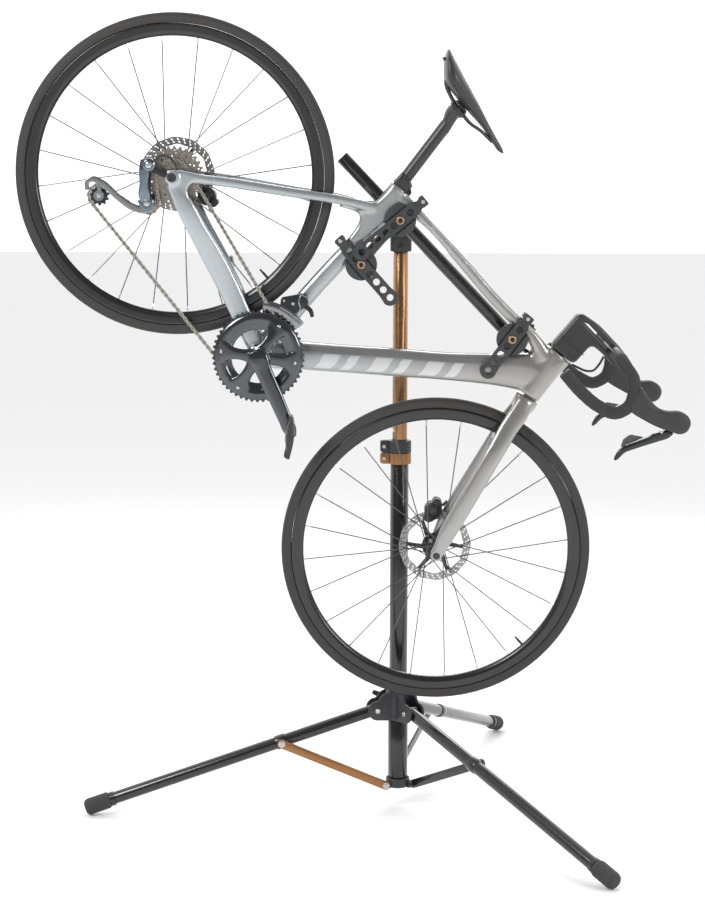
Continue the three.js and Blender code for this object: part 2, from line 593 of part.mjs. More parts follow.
// ---------- drivetrain ----------
// Belt around wheels { at, r, turn }: turn is 1 where the belt runs clockwise seen from the drive side.
function beltLine(wheels, offset) {
  const line = [];
  wheels.forEach((wheel, i) => {
    const touch = (a, b, isStart) => {
      const [dx, dz] = [b.at[0] - a.at[0], b.at[1] - a.at[1]];
      const lean = Math.acos((a.turn * a.r - b.turn * b.r) / Math.hypot(dx, dz));
      const normal = Math.atan2(dz, dx) + lean;
      return isStart ? normal + (a.turn < 0 ? Math.PI : 0) : normal + (b.turn < 0 ? Math.PI : 0);
    };
    const before = wheels[(i + wheels.length - 1) % wheels.length];
    const after = wheels[(i + 1) % wheels.length];
    let from = touch(before, wheel, false);
    let to = touch(wheel, after, true);
    while (wheel.turn > 0 && to > from) to -= 2 * Math.PI;
    while (wheel.turn > 0 && to < from - 2 * Math.PI) to += 2 * Math.PI;
    while (wheel.turn < 0 && to < from) to += 2 * Math.PI;
    while (wheel.turn < 0 && to > from + 2 * Math.PI) to -= 2 * Math.PI;
    const steps = Math.max(4, Math.ceil(Math.abs(to - from) / 0.22));
    const r = wheel.r + wheel.turn * offset;
    for (let k = 0; k <= steps; k++) {
      const turn = from + ((to - from) * k) / steps;
      line.push([wheel.at[0] + r * Math.cos(turn), wheel.at[1] + r * Math.sin(turn)]);
    }
  });
  return line;
}

function chainShape() {
  const wheels = [
    { at: [REAR_AXLE.x, REAR_AXLE.z], r: SPROCKET_R, turn: -1 },
    { at: JOCKEYS.upper, r: JOCKEY_R, turn: 1 },
    { at: JOCKEYS.lower, r: JOCKEY_R, turn: -1 },
    { at: [0, 0], r: SMALL_RING_R, turn: -1 },
  ];
  return cut(plate(beltLine(wheels, -CHAIN_HALF), ...CHAIN_Y), plate(beltLine(wheels, CHAIN_HALF),
    CHAIN_Y[0] - 2, CHAIN_Y[1] + 2));
}

function crankSet() {
  const rings = turned([[0, 43.2], [12, 43.2], [12, -43.6], [46, -43.6], [46, -39.9],
    [SMALL_RING_R - 5, -39.9],
    [SMALL_RING_R - 5, -42.9], [60, -42.9], [60, -46.5], [BIG_RING_R, -46.5], [BIG_RING_R, -49.6],
      [62, -49.6],
    [30, -60], [0, -61]], 32, false);
  return join(rings, tube([[-8, -64, 2, 20, 7], [30, -64, -6, 17, 8], [90, -68, -17, 15, 7],
    [CRANK.x, -70, CRANK.z, 12, 7],
    [CRANK.x + 12, -70, CRANK.z - 2.5, 6, 5]], 12, 0.85));
}

const leftCrank = () => join(
  tube([[10, 58, -2, 14, 8], [-4, 58, 1, 19, 9], [-60, 62, 12, 15, 7.5], [-CRANK.x, 69, -CRANK.z, 12, 7],
    [-CRANK.x - 12, 69, -CRANK.z + 2.5, 6, 5]], 12, 0.85),
  disc([0, 0], 18, 43.9, 60, 18),
);

// Flat road pedal about its spindle, which points away from the crank.
function pedalShape(side, [x, z]) {
  const [ux, uz] = [0.772, -0.636];
  const along = (s, y, half, wide) => [x + ux * s, y, z + uz * s, half, wide];
  const middle = side * 105;
  return join(
    tube([along(-42, middle, 3, 20), along(-30, middle, 6, 25), along(0, middle, 9, 26),
      along(30, middle, 7, 26), along(50, middle, 4, 24)], 12, 0.7),
    disc([x, z], 8, Math.min(side * 77.6, side * 120), Math.max(side * 77.6, side * 120), 14),
  );
}

function derailleurShape() {
  return join(
    plate([[-424, 73], [-406, 48], [-450, 34], [-466, 44], [-458, 58]], -83, -77.6),
    disc([-460, 47], 14, -90, -72, 16),
    tube([[-470, -74, 46, 13, 10], [-440, -72, 22, 12, 11], [-406, -66, -2, 13, 10]], 10, 0.8),
    disc(JOCKEYS.upper, 17, -70, -50.2, 18),
  );
}

function cageShape() {
  const [[ux, uz], [lx, lz]] = [JOCKEYS.upper, JOCKEYS.lower];
  const side = [[ux + 13, uz + 8], [ux - 4, uz + 15], [lx - 6, lz + 17], [lx - 40, lz + 12],
    [lx - 38, lz + 2],
    [lx + 4, lz - 16], [ux + 14, uz - 14]];
  const jockey = (at) => join(disc(at, JOCKEY_R - 5, -43, -39.5, 20), disc(at, 5, -49.8, -33.4, 10));
  return join(plate(side, -49.8, -47.8), plate(side, -35.2, -33.4), jockey(JOCKEYS.upper),
    jockey(JOCKEYS.lower));
}

function frontDerailleur() {
  const arc = (r, from, to) => Array.from({ length: 6 }, (_, k) => {
    const turn = THREE.MathUtils.degToRad(from + ((to - from) * k) / 5);
    return [r * Math.cos(turn), r * Math.sin(turn)];
  });
  return join(
    plate([...arc(120, 91, 140), ...arc(101.5, 140, 91)], -47.2, -45.4),
    plate([...arc(120, 91, 140), ...arc(92, 140, 91)], -37, -35),
    plate([...arc(124, 100, 122), ...arc(119, 122, 100)], -47.2, -35),
    plate([[-75, 110], [-58, 96], [-28, 118], [-36, 146], [-56, 148]], -36, -21.2),
  );
}

function caliper(x, z, turn, y, axle, slotY) {
  const [c, s] = [Math.cos(turn), Math.sin(turn)];
  const corner = (a, b) => [x + a * c - b * s, z + a * s + b * c];
  const block = plate([corner(-28, -13), corner(28, -13), corner(30, 4), corner(16, 14), corner(-16,
    14), corner(-30, 4)], y[0], y[1]);
  return cut(block, disc([axle.x, axle.z], ROTOR_R + 2, slotY - 2.2, slotY + 2.2, 36));
}

function buildDrivetrain() {
  put(bicycle, "crankset_right", crankSet(), "crank");
  put(bicycle, "crank_left", leftCrank(), "crank");
  put(bicycle, "pedal_right", pedalShape(-1, [CRANK.x, CRANK.z]), "plastic");
  put(bicycle, "pedal_left", pedalShape(1, [-CRANK.x, -CRANK.z]), "plastic");
  put(bicycle, "chain", chainShape(), "sprocket");
  put(bicycle, "rear_derailleur", derailleurShape(), "mech");
  put(bicycle, "derailleur_cage", cageShape(), "mech");
  put(bicycle, "front_derailleur", frontDerailleur(), "mech");
  put(bicycle, "front_caliper", caliper(506, 112, -1.12, [25, 58], FRONT_AXLE, 39.5), "plastic");
  put(bicycle, "rear_caliper", caliper(-338, 96, 0.12 + Math.PI, [38, 74], REAR_AXLE, 55.7), "plastic");
}

buildTripod();
buildMast();
buildHead();
buildClamp();
put(bicycle, "bike_frame", frameShape(), "paint");
put(bicycle, "fork", forkShape(), "paint");
buildCockpit();
buildSaddle();
buildWheels();
buildDrivetrain();

// The origin is the middle of the assembly's footprint, on the floor.
assembly.updateMatrixWorld(true);
const bounds = new THREE.Box3().setFromObject(assembly, true);
const middle = bounds.getCenter(V(0, 0, 0));
assembly.position.set(-middle.x, -middle.y, -bounds.min.z);

export default assembly;
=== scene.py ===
# %% [markdown]
# # A road bicycle on a folding repair stand
#
# The bicycle hangs nose down in a stand with three legs. The sizes and the joints were settled
# in CAD, so this lesson dresses that frame: every cell makes one group of pieces, at the place
# where the frame says, and gives it the finish of the real thing.

# %% Load the frame
import json
import math

import bpy
import numpy as np
from mathutils import Matrix, Vector
from mathutils.geometry import tessellate_polygon


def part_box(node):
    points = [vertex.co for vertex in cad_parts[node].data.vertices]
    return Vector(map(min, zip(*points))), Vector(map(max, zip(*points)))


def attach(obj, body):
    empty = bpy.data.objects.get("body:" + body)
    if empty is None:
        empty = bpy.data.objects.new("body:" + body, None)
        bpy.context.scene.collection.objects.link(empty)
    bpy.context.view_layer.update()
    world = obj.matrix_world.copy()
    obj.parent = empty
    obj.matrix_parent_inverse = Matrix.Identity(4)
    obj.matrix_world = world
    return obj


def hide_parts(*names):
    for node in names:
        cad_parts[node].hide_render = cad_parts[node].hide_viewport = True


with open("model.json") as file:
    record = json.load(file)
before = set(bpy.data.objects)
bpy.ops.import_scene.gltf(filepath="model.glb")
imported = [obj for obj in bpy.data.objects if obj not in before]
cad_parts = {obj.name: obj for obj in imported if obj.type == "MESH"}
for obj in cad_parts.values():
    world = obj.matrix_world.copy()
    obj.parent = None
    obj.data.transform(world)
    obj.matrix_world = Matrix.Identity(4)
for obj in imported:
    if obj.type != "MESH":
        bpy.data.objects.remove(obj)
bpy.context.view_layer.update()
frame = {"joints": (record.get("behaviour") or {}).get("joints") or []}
joints = {joint["name"]: joint for joint in frame["joints"]}

# %% [markdown]
# ## Two sets of axes
#
# The stand is upright, but the bicycle hangs turned and leaning. It is far easier to draw a
# crank or a saddle on the bicycle's own axes: x forward, y to its left and z up, in
# millimetres from the middle of the crank axle. The joints give those axes exactly: the crank's
# axle is the y axis, and the line between the wheels' axles is the x axis.

# %% The bicycle's and the stand's axes
crank_centre = np.array(joints["crank_spin"]["pos_m"])
BIKE_LEFT = np.array(joints["crank_spin"]["axis"])
axle_line = (np.array(joints["front_wheel_spin"]["pos_m"])
             - np.array(joints["rear_wheel_spin"]["pos_m"]))
BIKE_AHEAD = axle_line / np.linalg.norm(axle_line)
BIKE_AXES = np.stack([BIKE_AHEAD, BIKE_LEFT, np.cross(BIKE_AHEAD, BIKE_LEFT)])
MM = 0.001

tube_low, tube_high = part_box("mast_lower_tube")
MAST_TUBE_FOOT = 51.5  # height of the lower tube's end above the stand's own zero, mm
mast_zero = np.array([(tube_low.x + tube_high.x) / 2, (tube_low.y + tube_high.y) / 2,
                      tube_low.z - MAST_TUBE_FOOT * MM])


def on_bike(points):
    """Bicycle millimetres to metres in the frame: centre + x * ahead + y * left + z * up."""
    return crank_centre + np.asarray(points, float) @ BIKE_AXES * MM


def on_stand(points):
    """Stand millimetres, measured from the mast's foot, to metres in the frame."""
    return mast_zero + np.asarray(points, float) * MM


print("crank axle", crank_centre.round(4), "mast foot", mast_zero.round(4))

# %% [markdown]
# ## Camera
#
# The camera comes first, so that every later cell can be looked at as it will be seen. It stands
# about four metres away, level with the clamp, and looks down a little. The lens is a short
# telephoto, which keeps the wheels round.

# %% Camera
CAMERA_FROM_MAST = (-83.7, -4334.2, 1361.2)  # mm
PAN, DIP, ROLL = 0.0051, 0.124, 0.0032  # radians
LENS, SEES_TO = 77.69, 60.0  # mm, m
ahead = np.array([-math.sin(PAN) * math.cos(DIP), math.cos(PAN) * math.cos(DIP), -math.sin(DIP)])
level = np.array([math.cos(PAN), math.sin(PAN), 0.0])
above = np.cross(level, ahead)
right = level * math.cos(ROLL) + above * math.sin(ROLL)
top = above * math.cos(ROLL) - level * math.sin(ROLL)
camera_data = bpy.data.cameras.new("camera")
camera_data.lens = LENS
camera_data.clip_end = SEES_TO
camera = bpy.data.objects.new("camera", camera_data)
turn = Matrix([[right[i], top[i], -ahead[i]] for i in range(3)]).to_4x4()
camera.matrix_world = Matrix.Translation(Vector(on_stand(CAMERA_FROM_MAST))) @ turn
bpy.context.scene.collection.objects.link(camera)
bpy.context.scene.camera = camera
print("camera at", [round(v, 3) for v in camera.location])

# %% [markdown]
# ## Shells from arrays
#
# Nearly everything on a bicycle is a bent tube, a turned part or a flat plate. Each is a surface
# of two parameters, so it can be worked out as one numpy array: how far along, and how far
# round. A *shell* here is a pair: an array of points and a list of arrays of faces. Shells
# are cheap to copy and turn before they become a mesh, which is how a chain gets its links.

# %% Shell helpers: closing, turning outward, joining and copying
def with_skin(rings, loop=False, centres=None):
    """Faces over a grid: quad (i, j) joins ring i to ring i + 1. Fans on centres close the ends."""
    rings = np.asarray(rings, float)
    count, around = rings.shape[:2]
    points = rings.reshape(-1, 3)
    i = np.arange(count if loop else count - 1)[:, None] * around
    j = np.arange(around)[None, :]
    k = (j + 1) % around
    after = (i + around) % (count * around)
    faces = [np.stack([i + j, i + k, after + k, after + j], -1).reshape(-1, 4)]
    if not loop:
        first, last = centres if centres is not None else (rings[0].mean(0), rings[-1].mean(0))
        end = (count - 1) * around
        start_fan = np.stack([np.full(around, len(points)), k[0], j[0]], -1)
        end_fan = np.stack([np.full(around, len(points) + 1), end + j[0], end + k[0]], -1)
        points = np.vstack([points, first, last])
        faces += [start_fan, end_fan]
    return outward((points, faces))


def outward(shell):
    """Turns the faces round where the enclosed volume, a sum of triple products, is negative."""
    points, faces = shell
    middle = points.mean(0)
    volume = 0.0
    for face in faces:
        corners = points[face] - middle
        for k in range(1, face.shape[1] - 1):
            volume += np.einsum("ij,ij->", corners[:, 0],
                                np.cross(corners[:, k], corners[:, k + 1]))
    return (points, [face[:, ::-1] for face in faces]) if volume < 0 else shell


def joined(*shells):
    """One shell from several: the points are stacked and the face numbers moved up."""
    points, faces, start = [], [], 0
    for shell_points, shell_faces in shells:
        points.append(shell_points)
        faces += [face + start for face in shell_faces]
        start += len(shell_points)
    return np.vstack(points), faces


def copies(shell, places, turns=None):
    """The shell repeated: copy n is turns[n] times the points, plus places[n]."""
    points, faces = shell
    places = np.asarray(places, float)
    turns = np.broadcast_to(np.eye(3), (len(places), 3, 3)) if turns is None else np.asarray(turns)
    moved = np.einsum("nij,pj->npi", turns, points) + places[:, None, :]
    step = np.arange(len(places))[:, None, None] * len(points)
    return moved.reshape(-1, 3), [(face[None] + step).reshape(-1, face.shape[1]) for face in faces]


def mirrored(shell):
    """The shell on the bicycle's other side: y changes sign, so each face is turned round."""
    points, faces = shell
    return points * [1, -1, 1], [face[:, ::-1] for face in faces]


def turns_about(axis, angles):
    """Rotation matrices about axis 0, 1 or 2, one for each angle in radians."""
    angles = np.atleast_1d(np.asarray(angles, float))
    c, s = np.cos(angles), np.sin(angles)
    a, b = (axis + 1) % 3, (axis + 2) % 3
    out = np.zeros((len(angles), 3, 3))
    out[:, axis, axis] = 1
    out[:, a, a], out[:, b, b] = c, c
    out[:, a, b], out[:, b, a] = -s, s
    return out


def axes_along(direction, hint=(0, 1, 0)):
    """A 3 by 3 matrix whose columns are two square directions and the unit direction."""
    w = np.asarray(direction, float)
    w = w / np.linalg.norm(w)
    u = np.cross(hint, w)
    if np.linalg.norm(u) < 1e-6:
        u = np.cross((1, 0, 0), w)
    u = u / np.linalg.norm(u)
    return np.stack([u, np.cross(w, u), w], 1)


# %% Shell helpers: curves, tubes, turned parts and plates
def curve(stations, count, loop=False):
    """A line through rows of numbers: cubic pieces whose slope at a row is the chord past it."""
    rows = np.asarray(stations, float)
    if loop:
        rows = np.vstack([rows[-2:], rows, rows[:3]])
    step = np.linalg.norm(np.diff(rows[:, :3], axis=0), axis=1)
    t = np.concatenate([[0], np.cumsum(step)])
    slope = np.gradient(rows, t, axis=0)
    low, high = (t[2], t[-3]) if loop else (t[0], t[-1])
    s = np.linspace(low, high, count, endpoint=not loop)
    i = np.clip(np.searchsorted(t, s, side="right") - 1, 0, len(t) - 2)
    h = (t[i + 1] - t[i])[:, None]
    u = ((s - t[i]) / h[:, 0])[:, None]
    return ((2 * u**3 - 3 * u**2 + 1) * rows[i] + (u**3 - 2 * u**2 + u) * h * slope[i]
            + (3 * u**2 - 2 * u**3) * rows[i + 1] + (u**3 - u**2) * h * slope[i + 1])


def ring_angles(sides):
    return np.arange(sides) * 2 * math.pi / sides


def tube(path, radius, sides=16, across=None, square=1.0, loop=False, dome=0.0, relief=None):
    """Ring = centre + deep * cos * u + wide * sin * v, with u and v square to the path.
    A number below 1 for square swells the corners, dome rounds the ends by that length, and
    relief adds its own height to the radius at each station and angle."""
    path = np.asarray(path, float)
    count = len(path)
    size = np.broadcast_to(np.asarray(radius, float).reshape(-1, 1), (count, 2)) \
        if np.ndim(radius) < 2 else np.asarray(radius, float)
    along = (np.roll(path, -1, 0) - np.roll(path, 1, 0)) if loop else np.gradient(path, axis=0)
    along = along / np.linalg.norm(along, axis=1, keepdims=True)
    if across is not None:
        u = np.cross(along, across)
        u = u / np.linalg.norm(u, axis=1, keepdims=True)
    else:
        u = np.zeros_like(path)
        u[0] = axes_along(along[0])[:, 0]
        for n in range(1, count):
            u[n] = u[n - 1] - (u[n - 1] @ along[n]) * along[n]
            u[n] /= np.linalg.norm(u[n])
    v = np.cross(along, u)
    if dome:
        lift = np.array([1.0, 0.75, 0.35])
        shrink = np.array([0.3, 0.75, 0.95])
        path = np.vstack([path[0] - along[0] * dome * lift[:, None], path,
                          path[-1] + along[-1] * dome * lift[::-1, None]])
        size = np.vstack([size[0] * shrink[:, None], size, size[-1] * shrink[::-1, None]])
        u = np.vstack([np.repeat(u[:1], 3, 0), u, np.repeat(u[-1:], 3, 0)])
        v = np.vstack([np.repeat(v[:1], 3, 0), v, np.repeat(v[-1:], 3, 0)])
    angle = ring_angles(sides)
    c, s = np.cos(angle), np.sin(angle)
    c, s = np.sign(c) * np.abs(c) ** square, np.sign(s) * np.abs(s) ** square
    extra = np.zeros((len(path), sides)) if relief is None else relief
    rings = (path[:, None] + ((size[:, :1] + extra) * c)[..., None] * u[:, None]
             + ((size[:, 1:] + extra) * s)[..., None] * v[:, None])
    return with_skin(rings, loop=loop)


def rounded(outline, radius, steps=3, loop=True):
    """Each corner gives way to a short curve: (1-s)^2 start + 2s(1-s) corner + s^2 end."""
    p = np.asarray(outline, float)
    before, after = np.roll(p, 1, 0) - p, np.roll(p, -1, 0) - p
    reach = np.minimum(np.linalg.norm(before, axis=1), np.linalg.norm(after, axis=1)) * 0.48
    reach = np.minimum(reach, radius)[:, None]
    start = p + before / np.linalg.norm(before, axis=1, keepdims=True) * reach
    end = p + after / np.linalg.norm(after, axis=1, keepdims=True) * reach
    s = np.linspace(0, 1, steps + 1)[None, :, None]
    bends = (1 - s) ** 2 * start[:, None] + 2 * s * (1 - s) * p[:, None] + s**2 * end[:, None]
    if loop:
        return bends.reshape(-1, p.shape[1])
    return np.vstack([p[:1], bends[1:-1].reshape(-1, p.shape[1]), p[-1:]])


def turned(profile, sides=32, centre=(0, 0, 0), axis=(0, 1, 0), soften=0.0, ring=False):
    """A lathe: the (radius, height) profile goes round the axis. A ring closes on itself."""
    profile = np.asarray(profile, float)
    if soften:
        profile = rounded(profile, soften, loop=ring)
    frame3 = axes_along(axis, hint=(0.31, 0.17, 0.93))
    ends = None
    if not ring:
        ends = [np.asarray(centre) + frame3[:, 2] * h for h in (profile[0, 1], profile[-1, 1])]
        profile = profile[profile[:, 0] > 1e-9]
    angle = ring_angles(sides)
    spin = np.cos(angle)[:, None] * frame3[:, 0] + np.sin(angle)[:, None] * frame3[:, 1]
    rings = (np.asarray(centre, float) + profile[:, :1, None] * spin[None]
             + profile[:, 1:, None] * frame3[:, 2])
    return with_skin(rings, loop=ring, centres=ends)


def rod(a, b, radius, sides=14, edge=0.0):
    """A round bar from a to b, its ends softened by edge."""
    a, b = np.asarray(a, float), np.asarray(b, float)
    length = np.linalg.norm(b - a)
    profile = [(0, 0), (radius, 0), (radius, length), (0, length)]
    return turned(profile, sides, a, b - a, soften=edge)


def inset(outline, distance):
    """A closed outline moved inward by distance along its corner normals."""
    before, after = outline - np.roll(outline, 1, 0), np.roll(outline, -1, 0) - outline
    before = before / np.maximum(np.linalg.norm(before, axis=1, keepdims=True), 1e-9)
    after = after / np.maximum(np.linalg.norm(after, axis=1, keepdims=True), 1e-9)
    normal = np.stack([-(before[:, 1] + after[:, 1]), before[:, 0] + after[:, 0]], 1)
    normal = normal / np.maximum(np.linalg.norm(normal, axis=1, keepdims=True), 1e-6)
    lean = np.maximum(-before[:, 1] * normal[:, 0] + before[:, 0] * normal[:, 1], 0.5)
    return outline + normal * (distance / lean)[:, None]


def signed_area(outline):
    x, y = outline[:, 0], outline[:, 1]
    return 0.5 * np.sum(x * np.roll(y, -1) - y * np.roll(x, -1))


def plate(outline, low, high, holes=(), edge=0.5, steps=2, bend=None):
    """A flat outline in x and z filled from y = low to y = high, with holes. Its edges are quarter
    circles: inset = edge * (1 - sin a) at depth edge * (1 - cos a). bend then moves the points."""
    loops = []
    for n, loop in enumerate([outline, *holes]):
        loop = np.asarray(loop, float)
        loops.append(loop if (signed_area(loop) > 0) == (n == 0) else loop[::-1])
    arc = np.linspace(0, math.pi / 2, steps + 1)
    fall = [(edge * (1 - math.cos(t)), edge * (1 - math.sin(t))) for t in arc] if edge else [(0, 0)]
    levels = [(low + y, by) for y, by in fall] + [(high - y, by) for y, by in fall[::-1]]
    points, faces, start = [], [], 0
    first, last, caps = [], [], []
    for loop in loops:
        around = len(loop)
        rings = np.stack([np.insert(inset(loop, by) if by else loop, 1, y, axis=1)
                          for y, by in levels])
        i = np.arange(len(levels) - 1)[:, None] * around
        j = np.arange(around)[None]
        k = (j + 1) % around
        faces.append(np.stack([i + j, i + k, i + around + k, i + around + j],
                              -1).reshape(-1, 4) + start)
        points.append(rings.reshape(-1, 3))
        first.append(start + np.arange(around))
        last.append(start + (len(levels) - 1) * around + np.arange(around))
        caps.append([Vector((p[0], p[2], 0)) for p in rings[0]])
        start += len(levels) * around
    triangles = np.array(tessellate_polygon(caps))
    flat = np.array([[v.x, v.y] for cap in caps for v in cap])
    a, b, c = (flat[triangles[:, n]] for n in range(3))
    twice = (b[:, 0] - a[:, 0]) * (c[:, 1] - a[:, 1]) - (b[:, 1] - a[:, 1]) * (c[:, 0] - a[:, 0])
    triangles = np.where((twice < 0)[:, None], triangles[:, ::-1], triangles)
    faces = [face[:, ::-1] for face in faces]
    faces.append(np.concatenate(first)[triangles])
    faces.append(np.concatenate(last)[triangles][:, ::-1])
    points = np.vstack(points)
    return outward((points if bend is None else bend(points), faces))


def circle(x, z, radius, sides=20):
    angle = ring_angles(sides)
    return np.stack([x + radius * np.cos(angle), z + radius * np.sin(angle)], 1)


def socket_screw(centre, axis, head=4.0, height=3.0):
    """A cap screw: a lathe with a sunk middle."""
    profile = [(0, height * 0.35), (head * 0.5, height * 0.35), (head * 0.55, height),
               (head * 0.9, height), (head, height * 0.8), (head, 0), (0, 0)]
    return turned(profile, 18, centre, axis, soften=0.0)


print("shell helpers ready")

# %% [markdown]
# ## From shell to piece
#
# A piece becomes one Blender mesh, filled with foreach_set, which copies whole arrays at once.
# It is then given to the body that it moves with, and the CAD nodes that it stands for are hidden.

# %% Making a piece
made = {}
SMOOTH_BELOW = math.radians(38)


def piece(name, shells, place, body, material, nodes=()):
    """Joins the shells, moves them to the frame with place, and hands the mesh to its body."""
    points, faces = joined(*shells) if isinstance(shells, list) else shells
    corners = np.concatenate([face.ravel() for face in faces])
    sizes = np.concatenate([np.full(len(face), face.shape[1]) for face in faces])
    mesh = bpy.data.meshes.new(name)
    mesh.vertices.add(len(points))
    mesh.vertices.foreach_set("co", place(points).astype(np.float32).ravel())
    mesh.loops.add(len(corners))
    mesh.loops.foreach_set("vertex_index", corners.astype(np.int32))
    mesh.polygons.add(len(sizes))
    starts = np.concatenate([[0], np.cumsum(sizes)[:-1]])
    mesh.polygons.foreach_set("loop_start", starts.astype(np.int32))
    mesh.update(calc_edges=True)
    mesh.shade_smooth()
    mesh.set_sharp_from_angle(angle=SMOOTH_BELOW)
    mesh.materials.append(material)
    new = bpy.data.objects.new(name, mesh)
    bpy.context.scene.collection.objects.link(new)
    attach(new, body)
    if nodes:
        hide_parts(*nodes)
    made[name] = int((sizes - 2).sum())
    return new


print("pieces with edges under", round(math.degrees(SMOOTH_BELOW)), "degrees are smooth")

# %% [markdown]
# ## Floor and light
#
# A soft key light from the upper left, a weaker fill from the right and a strip behind make the
# gloss tubes show a long clean highlight. The floor is plain and pale. The world is dark on the
# camera's side, so that black tubes stay black, and white behind the bicycle, so that the silver
# paint has something bright to reflect.

# %% Floor
FLOOR_HALF, FLOOR_Z = 60.0, -0.001  # half its side and its height, m
floor_mesh = bpy.data.meshes.new("floor")
floor_mesh.from_pydata([(x * FLOOR_HALF, y * FLOOR_HALF, FLOOR_Z)
                        for x, y in ((-1, -1), (1, -1), (1, 1), (-1, 1))], [], [(0, 1, 2, 3)])
floor = bpy.data.objects.new("floor", floor_mesh)
bpy.context.scene.collection.objects.link(floor)

floor_look = bpy.data.materials.new("floor")
floor_look.use_nodes = True
floor_shader = floor_look.node_tree.nodes["Principled BSDF"]
floor_shader.inputs["Base Color"].default_value = (0.93, 0.93, 0.93, 1)
floor_shader.inputs["Roughness"].default_value = 0.9
floor_mesh.materials.append(floor_look)
print("floor:", 2 * FLOOR_HALF, "m square")

# %% World
CAMERA_SIDE, FAR_SIDE = (0.30, (0.16, 0.16, 0.17, 1)), (0.62, (1.0, 1.0, 1.0, 1))  # place, colour
WORLD_STRENGTH = 1.45
world = bpy.data.worlds.new("studio")
world.use_nodes = True
sky = world.node_tree
facing = sky.nodes.new("ShaderNodeTexCoord")
parts = sky.nodes.new("ShaderNodeSeparateXYZ")
shade = sky.nodes.new("ShaderNodeValToRGB")
for stop, (position, tone) in zip(shade.color_ramp.elements, (CAMERA_SIDE, FAR_SIDE)):
    stop.position, stop.color = position, tone
to_unit = sky.nodes.new("ShaderNodeMapRange")
to_unit.inputs["From Min"].default_value = -1.0
sky.links.new(facing.outputs["Generated"], parts.inputs[0])
sky.links.new(parts.outputs["Y"], to_unit.inputs["Value"])
sky.links.new(to_unit.outputs["Result"], shade.inputs["Fac"])
sky.links.new(shade.outputs["Color"], sky.nodes["Background"].inputs["Color"])
sky.nodes["Background"].inputs["Strength"].default_value = WORLD_STRENGTH
bpy.context.scene.world = world
bpy.context.scene.view_settings.view_transform = "Standard"
bpy.context.scene.view_settings.exposure = 0.0
print("world strength:", WORLD_STRENGTH)

# %% Lights
LIGHT_AIM = Vector((0, 0, 0.9))
LIGHTS = [  # name, place in metres, size, power in watts
    ("key", (-2.6, -2.8, 3.4), 1.6, 120),
    ("fill", (3.2, -2.4, 2.0), 1.4, 60),
    ("strip", (0.6, 2.8, 3.0), 1.8, 40),
]
for name, place, size, power in LIGHTS:
    data = bpy.data.lights.new(name, "AREA")
    data.energy, data.size = power, size
    light = bpy.data.objects.new(name, data)
    aim = (LIGHT_AIM - Vector(place)).to_track_quat("-Z", "Y")
    light.matrix_world = Matrix.Translation(place) @ aim.to_matrix().to_4x4()
    bpy.context.scene.collection.objects.link(light)
print("lights:", len(LIGHTS))

# %% [markdown]
# ## Finishes
#
# No finish on the real thing is one flat colour: anodised tube has drawing lines, moulded
# plastic a fine spark-eroded grain, paint a metal flake, rubber a matt bloom. One node group,
# *grain*, gives the change over the surface: it puts out a mask for colour and roughness, and a
# height for the bump. Each material places it with its own scale and stretch. The shader itself
# stays in the material.

# %% Node groups that the finishes share
def new_group(name, inputs, outputs):
    """An empty node group with inputs (name, kind, default) and outputs (name, kind)."""
    group = bpy.data.node_groups.new(name, "ShaderNodeTree")
    for label, kind, default in inputs:
        socket = group.interface.new_socket(label, in_out="INPUT", socket_type="NodeSocket" + kind)
        if default is not None:
            socket.default_value = default
    for label, kind in outputs:
        group.interface.new_socket(label, in_out="OUTPUT", socket_type="NodeSocket" + kind)
    start = group.nodes.new("NodeGroupInput")
    end = group.nodes.new("NodeGroupOutput")
    return group, start, end


def add(tree, kind, **values):
    """A node with its attributes set; keys that name an input set that socket instead."""
    node = tree.nodes.new("ShaderNode" + kind)
    for key, value in values.items():
        if hasattr(node, key):
            setattr(node, key, value)
        else:
            node.inputs[key.replace("_", " ")].default_value = value
    return node


grain, start, end = new_group(
    "grain", [("Vector", "Vector", None), ("Stretch", "Vector", (1, 1, 1)),
              ("Fine", "Float", 900.0), ("Broad", "Float", 14.0)],
    [("Mask", "Float"), ("Wear", "Float"), ("Height", "Float")])
scaled = add(grain, "VectorMath", operation="MULTIPLY")
fine = add(grain, "TexNoise", Detail=3.0, Roughness=0.6)
broad = add(grain, "TexNoise", Detail=4.0, Roughness=0.62)
spots = add(grain, "TexNoise", Detail=2.0, Roughness=0.5)
spot_scale = add(grain, "Math", operation="MULTIPLY")
spot_scale.inputs[1].default_value = 9.0
worn = add(grain, "ValToRGB")
worn.color_ramp.elements[0].position, worn.color_ramp.elements[1].position = 0.6, 0.72
mix = add(grain, "Math", operation="MULTIPLY_ADD")
mix.inputs[1].default_value = 0.35
half = add(grain, "Math", operation="MULTIPLY")
half.inputs[1].default_value = 0.65
link = grain.links.new
link(start.outputs["Vector"], scaled.inputs[0])
link(start.outputs["Stretch"], scaled.inputs[1])
link(scaled.outputs[0], fine.inputs["Vector"])
link(start.outputs["Fine"], fine.inputs["Scale"])
link(start.outputs["Vector"], broad.inputs["Vector"])
link(start.outputs["Broad"], broad.inputs["Scale"])
link(start.outputs["Broad"], spot_scale.inputs[0])
link(spot_scale.outputs[0], spots.inputs["Scale"])
link(start.outputs["Vector"], spots.inputs["Vector"])
link(broad.outputs["Fac"], half.inputs[0])
link(fine.outputs["Fac"], mix.inputs[0])
link(half.outputs[0], mix.inputs[2])
link(spots.outputs["Fac"], worn.inputs["Fac"])
link(mix.outputs[0], end.inputs["Mask"])
link(worn.outputs["Color"], end.inputs["Wear"])
link(fine.outputs["Fac"], end.inputs["Height"])
print("grain group:", len(grain.nodes), "nodes")

